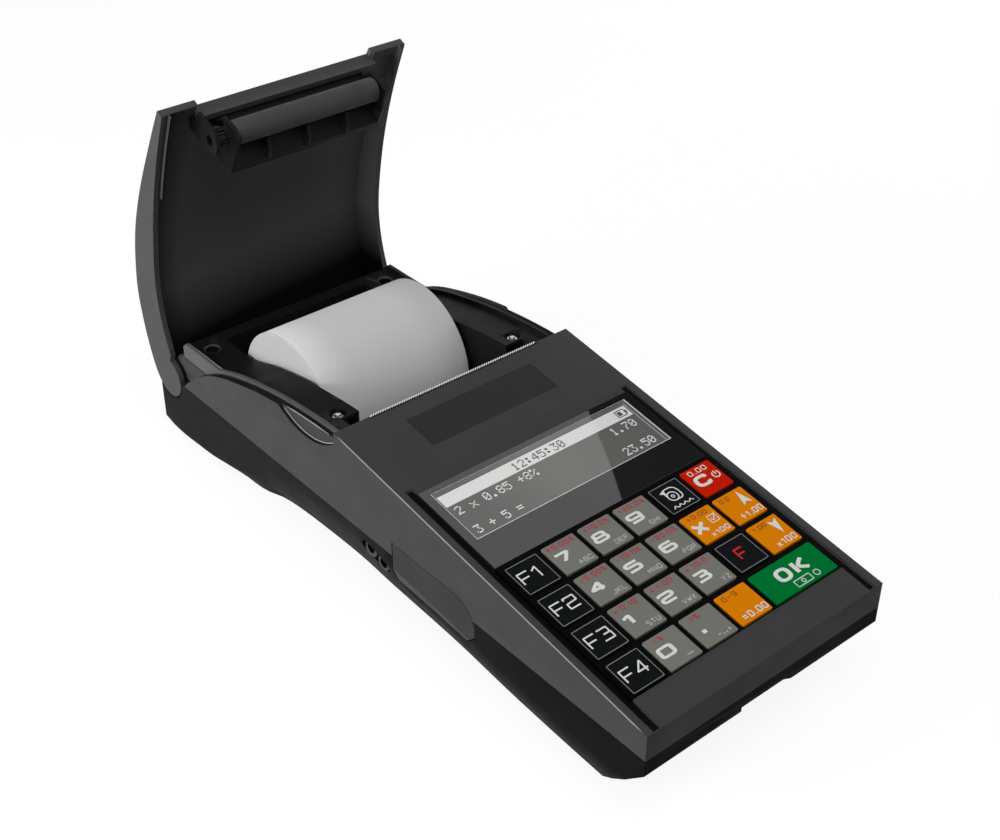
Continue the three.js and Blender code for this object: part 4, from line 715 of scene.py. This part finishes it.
letters = {"key_7": "ABC", "key_8": "DEF", "key_9": "GHI", "key_4": "JKL", "key_5": "MNO", "key_6": "PQR",
           "key_1": "STU", "key_2": "VWX", "key_3": "YZ"}
marks = {"key_7": "+5.00%", "key_8": "+10.0%", "key_9": "+20.0%", "key_4": "-5.00%", "key_5": "-10.0%",
         "key_6": "-20.0%", "key_1": "x 0.10", "key_2": "x 1.00", "key_3": "x 10.0", "key_0": "-%",
         "key_decimal": "+%"}
for name, (x0, s0, x1, s1) in cells.items():
    body = node_body[name]
    slot = slot_of[name]
    big, small, red, line = Print(INK), Print(INK), Print(INK), Print(INK)
    if name[4:].isdigit():
        big.text(name[4:], x0 + 0.8, s0 + 3.85, 5.7, 3.85, 0.86, corner=0.17, stretch=1.5)
    if name in letters:
        small.text(letters[name], x1 - 0.75 - 1.72 * len(letters[name]), s0 + 0.95, 1.4, 1.75, 0.26, 0.2)
    if name == "key_0":
        small.text("_", x0 + 7.6, s0 + 1.5, 2.2, 1.8, 0.32)
    if name == "key_decimal":
        big.rect(x0 + 2.7, s0 + 4.2, x0 + 4.1, s0 + 5.4)
        small.text("-", x0 + 5.6, s0 + 1.0, 1.3, 1.5, 0.28)
        small.rect(x0 + 7.3, s0 + 1.0, x0 + 7.75, s0 + 1.45)
        small.rect(x0 + 8.4, s0 + 1.0, x0 + 8.85, s0 + 1.45)
        small.text("+", x0 + 9.4, s0 + 1.0, 1.3, 1.4, 0.26)
    if name in marks:
        wide = len(marks[name]) > 3
        red.text(marks[name], x0 + (0.9 if wide else 2.6), s1 - 2.5, 1.5, 1.85, 0.36, 0.2)
    if name[4:] in ("f1", "f2", "f3", "f4"):
        small.text(name[4:].upper(), x0 + 1.4, s0 + 3.6, 4.0, 4.5, 0.5, 0.14, 0.03)
    if slot == "key_black":
        line.outline(x0 + 0.4, s0 + 0.4, x1 - 0.4, s1 - 0.4, 0.35, 0.2)
    if name == "key_function":
        red.text("F", x0 + 4.1, s0 + 3.6, 3.7, 4.4, 0.6, corner=0.03)
    if name == "key_feed":
        x, s = x0 + 5.6, s0 + 6.0
        small.ring(x, s, 0.5, 0.34)
        small.ring(x, s, 1.75, 0.42)
        small.strip(rounded_path([(x - 1.75, s), (x - 1.75, s + 3.3), (x + 3.1, s + 3.3), (x + 3.1, s - 1.75),
                                  (x, s - 1.75)], 2.6, False, 8), 0.42, False, 1)
        small.polygon([(x - 3.0, s + 2.6), (x - 1.2, s + 1.4), (x - 1.1, s + 3.4)], 2)
        for i in range(4):
            a = x - 3.4 + 2.0 * i
            small.strip([(a, s - 4.4), (a + 0.9, s - 3.5), (a + 1.8, s - 4.4)], 0.36, False, 3 + i)
    if name == "key_clear":
        big.text("C", x0 + 1.2, s0 + 3.5, 5.5, 4.5, 1.05, corner=0.3, stretch=1.35)
        small.ring(x0 + 9.6, s0 + 5.6, 1.25, 0.42, pi / 2 + 0.6, 2 * pi - 1.2, 24)
        small.strip([(x0 + 9.6, s0 + 5.6), (x0 + 9.6, s0 + 7.1)], 0.42)
        small.text("0.00", x0 + 1.9, s1 - 2.8, 1.75, 1.9, 0.32, 0.25)
    if name == "key_multiply":
        big.strip([(x0 + 0.9, s0 + 4.0), (x0 + 4.9, s0 + 7.4)], 1.15)
        big.strip([(x0 + 0.9, s0 + 7.4), (x0 + 4.9, s0 + 4.0)], 1.15, False, 1)
        small.outline(x0 + 7.6, s0 + 5.2, x0 + 10.6, s0 + 8.0, 0.15, 0.26)
        small.strip([(x0 + 8.1, s0 + 6.8), (x0 + 8.9, s0 + 5.9), (x0 + 10.9, s0 + 8.4)], 0.34, False, 1)
        small.text("x100", x1 - 7.9, s0 + 0.95, 1.6, 1.9, 0.34, 0.2)
        red.text("+0.00", x0 + 1.6, s1 - 2.5, 1.5, 1.8, 0.36, 0.2)
    if name in ("key_up", "key_down"):
        x, s, way = x0 + 8.9, s0 + 7.6, 1 if name == "key_up" else -1
        for hand in (-1, 1):
            big.polygon([(x + 1.7 * hand, s - 2.6 * way), (x, s + 3.2 * way), (x, s - 1.5 * way)])
        small.text("+1.00" if way > 0 else "x100", x1 - (9.2 if way > 0 else 8.6), s0 + 0.9, 1.75, 2.3, 0.4,
                   0.18)
        red.text("0.0" if way > 0 else "1.00", x0 + 1.3, s1 - 2.6, 1.4, 1.7, 0.34, 0.18)
    if name == "key_subtotal":
        small.text("=0.00", x1 - 9.9, s0 + 0.9, 1.8, 2.3, 0.4, 0.18)
        red.text("0-9", x0 + 1.5, s1 - 2.7, 1.6, 1.8, 0.36, 0.25)
    if name == "key_ok":
        big.text("OK", x0 + 6.8, s0 + 4.3, 5.6, 4.9, 1.05, 0.2, 0.3, stretch=1.4)
        small.outline(x0 + 10.0, s0 + 0.9, x0 + 16.2, s0 + 3.2, 0.25, 0.28)
        small.ring(x0 + 13.1, s0 + 2.05, 0.62, 0.28)
        small.ring(x0 + 18.6, s0 + 2.05, 1.0, 0.28)
    letter_ink = pale_ink if slot == "key_grey" else white_ink
    mark_ink = {"key_black": bright_red_ink, "key_grey": red_ink}.get(slot, brown_ink)
    for kind, layer, material in (("digits", big, white_ink), ("letters", small, letter_ink),
                                  ("marks", red, mark_ink), ("border", line, line_ink)):
        if layer.verts:
            layer.build(name + "_" + kind, body, slot, material)


# Badge: a bare plate in its shallow recess
def plate(name, x0, s0, x1, s1, radius, low, high, chamfer, body, slot, material):
    """A thin plate on the panel with rounded corners and a chamfered rim."""
    form = bmesh.new()
    rings = []
    for inset, n in ((0, low), (0, high - chamfer), (chamfer, high)):
        outline = rounded_path([(x0 + inset, s0 + inset), (x1 - inset, s0 + inset), (x1 - inset, s1 - inset),
                                (x0 + inset, s1 - inset)], radius, True)
        rings.append([form.verts.new(on_panel(p.x, p.y, n)) for p in outline])
    stitch(form, rings)
    form.faces.new(rings[-1])
    form.faces.new(rings[0][::-1])
    return finished(form, name, body, material)


BADGE = (-24.73, 115.115, 24.73, 128.375)
BADGE_FLOOR, BADGE_FACE = -0.29, -0.1
badge_black = plastic("badge_black", "242424", 0.45, 0.12, 2600, 0.000006)
plate("badge_plate", *BADGE, 0.3, BADGE_FLOOR, BADGE_FACE, 0.06, "case", "bezel_black", badge_black)

# Display: a window behind the gloss face, with dot-matrix figures
DOTS = {
    "0": "01110100011001110101110011000101110", "1": "00100011000010000100001000010001110",
    "2": "01110100010000100010001000100011111", "3": "11111000100010000010000011000101110",
    "4": "00010001100101010010111110001000010", "5": "11111100001111000001000011000101110",
    "7": "11111000010001000100010000100001000",
    "8": "01110100011000101110100011000101110",
    ".": "00000000000000000000000000110001100", ":": "00000011000110000000011000110000000",
    "x": "00000000001000101010001000101010001", "=": "00000000001111100000111110000000000",
    "+": "00000001000010011111001000010000000", "%": "11000110010001000100010001001100011",
    " ": "0" * 35,
}
glass_body = node_body["display_lens"]
DOT_X, DOT_S = 0.43, 0.46               # pitch of the dots across and up
window = Nodes("display_window")
sep = window.add("ShaderNodeSeparateXYZ")
window.link(window.place, sep.inputs[0])
# Painted light: the window's ground is darker at its left and lighter towards its middle and right.
glow = window.range(sep.outputs["X"], -0.030, 0.032, 0, 1)
ramp = window.add("ShaderNodeValToRGB")
for position, code in ((0.0, "5c5c5a"), (0.45, "7a7a76"), (1.0, "747473")):
    stop = ramp.color_ramp.elements[0 if position == 0 else -1]
    if position == 0.45:
        stop = ramp.color_ramp.elements.new(position)
    stop.position = position
    stop.color = linear(code)
window.link(glow, ramp.inputs[0])
cell_lines = window.noise(2200, 1)
window_color = window.mix(window.range(cell_lines, 0.35, 0.65, 0, 0.35), ramp.outputs[0], linear("62625e"))
window_material = window.surface(window_color, 0.025, None, Specular_IOR_Level=0.7)
pixel_white = ink("pixel_white", "fcfcfa", 0.08, 0.02, 0.7)
pixel_dark = ink("pixel_dark", "5c5c58", 0.08, 0.05, 0.5)
frame_highlight = ink("display_edge_highlight", "e4e4e0", 0.08, 0.05, 0.5)


def dots(words, x, s, layer, right=False, up=DOT_S):
    """Figures of five by seven dots, from x to the right, or up to x where right is set."""
    if right:
        x -= (len(words) * 6 - 1) * DOT_X
    for letter in words:
        for i, bit in enumerate(DOTS[letter]):
            if bit == "1":
                px, ps = x + (i % 5) * DOT_X, s + (6 - i // 5) * up
                layer.rect(px, ps, px + DOT_X * 0.96, ps + up * 0.96)
        x += 6 * DOT_X


screen = Print(0.012)
screen.rect(-38.4, 77.7, 38.4, 98.7)
screen.build("display_window_area", glass_body, "display_lens", window_material)
# Painted highlight: bright lines along the window's edges, widest at the right and the bottom.
lines = Print(0.03)
lines.strip([(-38.4, 98.9), (-38.4, 77.7)], 0.18)
lines.strip([(-38.5, 77.7), (38.4, 77.7)], 0.27, False, 4)
lines.strip([(36.6, 77.9), (36.6, 97.4)], 0.2, False, 1)
lines.strip([(38.1, 77.6), (38.1, 99.0)], 0.5, False, 2)
lines.strip([(-38.4, 98.9), (38.2, 98.9)], 0.12, False, 3)
lines.build("display_frame_lines", glass_body, "display_lens", frame_highlight)
header = Print(0.025)
header.rect(-37.9, 92.2, 36.0, 96.9)
header.build("display_header", glass_body, "display_lens", pixel_white)
dark = Print(0.04)
dots("12:45:30", -11.3, 92.9, dark, up=0.45)
dark.outline(31.2, 93.2, 34.6, 95.9, 0.2, 0.35)
dark.rect(34.8, 93.9, 35.3, 95.2)
dark.rect(31.7, 93.7, 33.2, 95.4)
dark.build("display_header_figures", glass_body, "display_lens", pixel_dark)
light = Print(0.04)
dots("2 x 0.85 +8%", -36.6, 87.9, light)
dots("1.70", 34.1, 87.9, light, True)
dots("3 + 5 =", -36.6, 79.1, light)
dots("23.50", 34.0, 79.1, light, True)
light.build("display_figures", glass_body, "display_lens", pixel_white)


# Paper roll: fine turns, soft edges
def lathe(name, profile, centre, body, material, sides=192):
    """Turns a profile of (x, radius) about the X axis through a point."""
    form = bmesh.new()
    rings = []
    for x, radius in profile:
        rings.append([form.verts.new(centre + Vector((x * MM, radius * MM * cos(2 * pi * i / sides),
                                                      radius * MM * sin(2 * pi * i / sides))))
                      for i in range(sides)])
    stitch(form, rings + rings[:1])
    return finished(form, name, body, material, 40)


roll_lo, roll_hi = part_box("paper_roll")
roll_centre = (roll_lo + roll_hi) / 2
half = (roll_hi.x - roll_lo.x) / 2 / MM
roll_radius = (roll_hi.z - roll_lo.z) / 2 / MM
# Painted shade: the ends are a darker grey than the paper; their rings are the edges of the turns.
end_finish = paper_ends("receipt_paper_ends", "c0c0c0", roll_centre)
profile = [(-half + 0.2, 8.9), (-half + 0.12, 9.2)]
TURNS, FIRST_TURN = 60, 9.4
for i in range(TURNS + 1):
    r = FIRST_TURN + (roll_radius - 0.5 - FIRST_TURN) * i / TURNS
    profile.append((-half + 0.08 + 0.04 * ((i * 7) % 5) / 5 * (1 if i % 2 else -0.4), r))
profile += [(-half + 0.15, roll_radius - 0.25), (-half + 0.45, roll_radius)]
mirrored = [(-x, r) for x, r in reversed(profile)]
roll = lathe("paper_roll_form", profile + [(x, roll_radius) for x in (-half / 2, 0, half / 2)] + mirrored,
             roll_centre, "roll", finish["receipt_paper"])
roll.data.materials.append(end_finish)
for face in roll.data.polygons:
    if abs(face.normal.x) > 0.5:
        face.material_index = 1
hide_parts("paper_roll")


# Tear bar: a strip of steel with fine sharp teeth
TOOTH_PITCH, TOOTH_DEPTH = 0.9, 0.75


def tear_bar():
    lo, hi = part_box("tear_bar")
    width = (hi.x - lo.x) / MM
    count = round(width / TOOTH_PITCH)
    step = width / count
    base = (hi.z - lo.z) / MM
    points = [(-width / 2, 0), (width / 2, 0)]
    for i in range(count, 0, -1):
        x = -width / 2 + i * step
        points += [(x, base - TOOTH_DEPTH), (x - step / 2, base)]
    points.append((-width / 2, base - TOOTH_DEPTH))
    form = bmesh.new()
    front = [form.verts.new((x * MM, lo.y, lo.z + z * MM)) for x, z in points]
    back = [form.verts.new((x * MM, hi.y, lo.z + z * MM)) for x, z in points]
    form.faces.new(front)
    form.faces.new(back[::-1])
    for i in range(len(points)):
        j = (i + 1) % len(points)
        form.faces.new((front[j], front[i], back[i], back[j]))
    piece = finished(form, "tear_bar_form", "case", finish["tear_steel"])
    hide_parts("tear_bar")


tear_bar()


# Painted highlights: light strips along edges, and lighter chamfers round two screw holes
def bead(name, x, line, radius, sides=8):
    """A thin rounded strip of light grey along a line of (y, z) at one x: a painted highlight on an edge."""
    form = bmesh.new()
    rings = []
    for i, (y, z) in enumerate(line):
        (y0, z0), (y1, z1) = line[max(i - 1, 0)], line[min(i + 1, len(line) - 1)]
        run = hypot(y1 - y0, z1 - z0)
        out = Vector((0, -(z1 - z0) / run, (y1 - y0) / run))
        size = radius * (0.3 if i in (0, len(line) - 1) else 1)
        rings.append([form.verts.new(at(x, y, z) + (Vector((cos(2 * pi * k / sides), 0, 0))
                                                    + out * sin(2 * pi * k / sides)) * size * MM)
                      for k in range(sides)])
    stitch(form, rings)
    form.faces.new(rings[0])
    form.faces.new(rings[-1])
    return finished(form, name, "case", edge_highlight, 50)


def ridge(node, x, chosen):
    """The highest corners of a node on the plane at x, front to rear, in millimetres as at() takes them."""
    origin = at(0, 0, 0)
    high = {}
    for vertex in nodes[node].data.vertices:
        if abs(vertex.co.x / MM - x) < 0.03:
            y, z = (vertex.co.y - origin.y) / MM, (vertex.co.z - origin.z) / MM
            if chosen(y, z):
                key = round(y, 1)
                high[key] = max(high.get(key, -99), z)
    return sorted(high.items())


# Painted highlight: a light grey for the strips along lit edges.
edge_highlight = plastic("painted_edge_highlight", "969696", 0.4, 0.3, 2600, 0.000005, 0.06, 1.1)
SUNK_LINE = 0.06                        # how far a bead's middle lies under its edge
slope = [0.1 + (SLOPE_END - 0.1) * i / 24 for i in range(25)]
bead("panel_left_edge", -HALF + 0.1, [(y, PANEL_FRONT + tan(TILT) * y - 0.1) for y in slope], 0.2)
scoop_line = [(y, z - SUNK_LINE)
              for y, z in ridge("upper_case", -44.6, lambda y, z: SLOPE_END + 0.3 < y < 162.5 and z > 15)]
if len(scoop_line) > 2:
    bead("scoop_upper_edge", -45.3, scoop_line, 0.19)
SCOOP_Y, SCOOP_Z, SCOOP_RADIUS = 149.7, 44.8, 24.6
turn = [radians(-38.2 + 68.9 * i / 30) for i in range(31)]
bead("scoop_lower_edge", -45.36,
     [(SCOOP_Y + SCOOP_RADIUS * sin(a), SCOOP_Z - SCOOP_RADIUS * cos(a)) for a in turn], 0.2)
rim_line = [(y, z - SUNK_LINE) for y, z in ridge("printer_deck", -43.4, lambda y, z: 14.9 < z < 15.3)]
if len(rim_line) > 1:
    first, last = rim_line[0], rim_line[-1]
    middle = ((first[0] + last[0]) / 2, first[1])
    for name, x in (("rim_straight_left", -42.1), ("rim_straight_right", 43.3)):
        bead(name, x, [first, middle, last], 0.17)


def hole_rim(screw):
    """The chamfer round the mouth of a deep screw hole, lighter than the deck as a painted highlight."""
    lo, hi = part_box(screw)
    mid = (lo + hi) / 2
    radius = (hi.x - lo.x) / 2 / MM + 0.3
    top = at(0, 0, DECK_TOP).z / MM
    form = bmesh.new()
    rings = []
    for r, z in ((radius + 0.15, top + 0.02), (radius + 0.1, top + 0.06), (radius, top + 0.02),
                 (radius - 0.3, top - 0.4), (radius - 0.3, top - 0.6), (radius + 0.02, top - 0.2)):
        rings.append([form.verts.new((mid.x + r * MM * cos(2 * pi * i / 48),
                                      mid.y + r * MM * sin(2 * pi * i / 48), z * MM)) for i in range(48)])
    stitch(form, rings + rings[:1])
    finished(form, screw + "_rim", "case", rim_highlight_finish, 30)


DECK_TOP = 13.3                         # height of the deck over the parting line
# Painted highlight: the chamfer is a lighter grey than the deck.
rim_highlight_finish = plastic("hole_rim", "3c3c3c", 0.4, 0.2, 2600, 0.000006)
hole_rim("rear_screw_left")
hole_rim("rear_screw_right")

# Platen: a ground rubber roller with soft ends
lo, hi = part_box("platen_roller")
platen_centre = (lo + hi) / 2
reach = (hi.x - lo.x) / 2 / MM
platen = lathe("platen_roller_form", [
    (-reach, 1.75), (-reach, 3.6), (-reach + 0.12, 3.85), (-reach + 0.4, 4.0), (-reach / 2, 4.0), (0, 4.0),
    (reach / 2, 4.0), (reach - 0.4, 4.0), (reach - 0.12, 3.85), (reach, 3.6), (reach, 1.75)],
    platen_centre, "platen", finish["platen_rubber"], 96)
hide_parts("platen_roller")


# Stage: floor, background and lamps
def cleared(owner):
    """The empty node tree of a material or a world."""
    owner.use_nodes = True
    owner.node_tree.nodes.clear()
    return owner.node_tree


def seen_directly(tree):
    """1 for rays from the camera, from mirrors and through glass, and 0 for light that falls on things."""
    path = tree.nodes.new("ShaderNodeLightPath")
    value = path.outputs["Is Camera Ray"]
    for name in ("Is Glossy Ray", "Is Transmission Ray"):
        either = tree.nodes.new("ShaderNodeMath")
        either.operation = "MAXIMUM"
        tree.links.new(value, either.inputs[0])
        tree.links.new(path.outputs[name], either.inputs[1])
        value = either.outputs[0]
    return value


def placed(name, data):
    """Adds a mesh or a lamp of the stage to the scene."""
    item = bpy.data.objects.new(name, data)
    bpy.context.scene.collection.objects.link(item)
    return item


def add_floor(size=6, glow=0.9):
    material = bpy.data.materials.new("floor")
    tree = cleared(material)
    out = tree.nodes.new("ShaderNodeOutputMaterial")
    diffuse = tree.nodes.new("ShaderNodeBsdfDiffuse")
    diffuse.inputs[0].default_value = (0.16, 0.16, 0.16, 1)
    emission = tree.nodes.new("ShaderNodeEmission")
    emission.inputs[0].default_value = (1, 1, 1, 1)
    strength = tree.nodes.new("ShaderNodeMath")
    strength.operation = "MULTIPLY"
    strength.inputs[1].default_value = glow
    tree.links.new(seen_directly(tree), strength.inputs[0])
    tree.links.new(strength.outputs[0], emission.inputs[1])
    add = tree.nodes.new("ShaderNodeAddShader")
    tree.links.new(diffuse.outputs[0], add.inputs[0])
    tree.links.new(emission.outputs[0], add.inputs[1])
    tree.links.new(add.outputs[0], out.inputs[0])
    mesh = bpy.data.meshes.new("floor")
    mesh.from_pydata([(-size, -size, 0), (size, -size, 0), (size, size, 0), (-size, size, 0)], [],
                     [(0, 1, 2, 3)])
    mesh.materials.append(material)
    placed("floor", mesh)


def add_world(level=0.15):
    world = bpy.data.worlds.new("studio")
    bpy.context.scene.world = world
    tree = cleared(world)
    out = tree.nodes.new("ShaderNodeOutputWorld")
    background = tree.nodes.new("ShaderNodeBackground")
    background.inputs[0].default_value = (1, 1, 1, 1)
    strength = tree.nodes.new("ShaderNodeMapRange")
    strength.inputs[3].default_value = level
    strength.inputs[4].default_value = 1.0
    tree.links.new(seen_directly(tree), strength.inputs[0])
    tree.links.new(strength.outputs[0], background.inputs[1])
    tree.links.new(background.outputs[0], out.inputs[0])


def lamp(name, place, aim, power, width, height):
    data = bpy.data.lights.new(name, "AREA")
    data.shape = "RECTANGLE"
    data.size = width
    data.size_y = height
    data.energy = power
    item = placed(name, data)
    item.location = place
    item.rotation_euler = (Vector(aim) - Vector(place)).to_track_quat("-Z", "Y").to_euler()
    item.visible_glossy = False


add_floor()
add_world()
lamp("left_softbox", (-0.75, 0.2, 0.15), (0, 0, 0.04), 7.1, 0.6, 0.5)
lamp("right_fill", (0.85, 0.3, 0.16), (0, 0, 0.04), 2.2, 0.6, 0.5)
lamp("top_softbox", (-0.1, -0.45, 1.1), (0, 0, 0), 5.9, 0.9, 0.9)


def black_card():
    """The finish of a card that gives no light."""
    material = bpy.data.materials.new("dark_card")
    tree = cleared(material)
    out = tree.nodes.new("ShaderNodeOutputMaterial")
    black = tree.nodes.new("ShaderNodeEmission")
    black.inputs[0].default_value = (0, 0, 0, 1)
    black.inputs[1].default_value = 0
    tree.links.new(black.outputs[0], out.inputs[0])
    return material


# Left edge of the card's mirror image in the display, as (x, s) on the panel
EDGE = [(6.0, 50.0), (6.4, 65.4), (13.0, 77.0), (17.4, 85.5), (21.0, 92.9), (25.1, 101.0), (30.1, 112.0)]
CARD_RIGHT = 70
CARD_AWAY = 0.25


def mirrored_card():
    """A dark card that the display's gloss face mirrors to the right of EDGE."""
    eye = bpy.context.scene.camera.matrix_world.translation
    normal = panel_up.normalized()

    def mirror(x, s):
        point = on_panel(x, s, 0)
        ray = (point - eye).normalized()
        return point + (ray - 2 * ray.dot(normal) * normal) * CARD_AWAY

    corners = [mirror(across, s) for x, s in EDGE for across in (x, CARD_RIGHT)]
    mesh = bpy.data.meshes.new("dark_card")
    mesh.from_pydata(corners, [], [(i, i + 1, i + 3, i + 2) for i in range(0, len(corners) - 2, 2)])
    mesh.materials.append(black_card())
    item = placed("dark_card", mesh)
    item.visible_camera = False
    item.visible_diffuse = False
    item.visible_shadow = False
    item.visible_transmission = False


mirrored_card()

bpy.context.scene.view_settings.view_transform = "Standard"
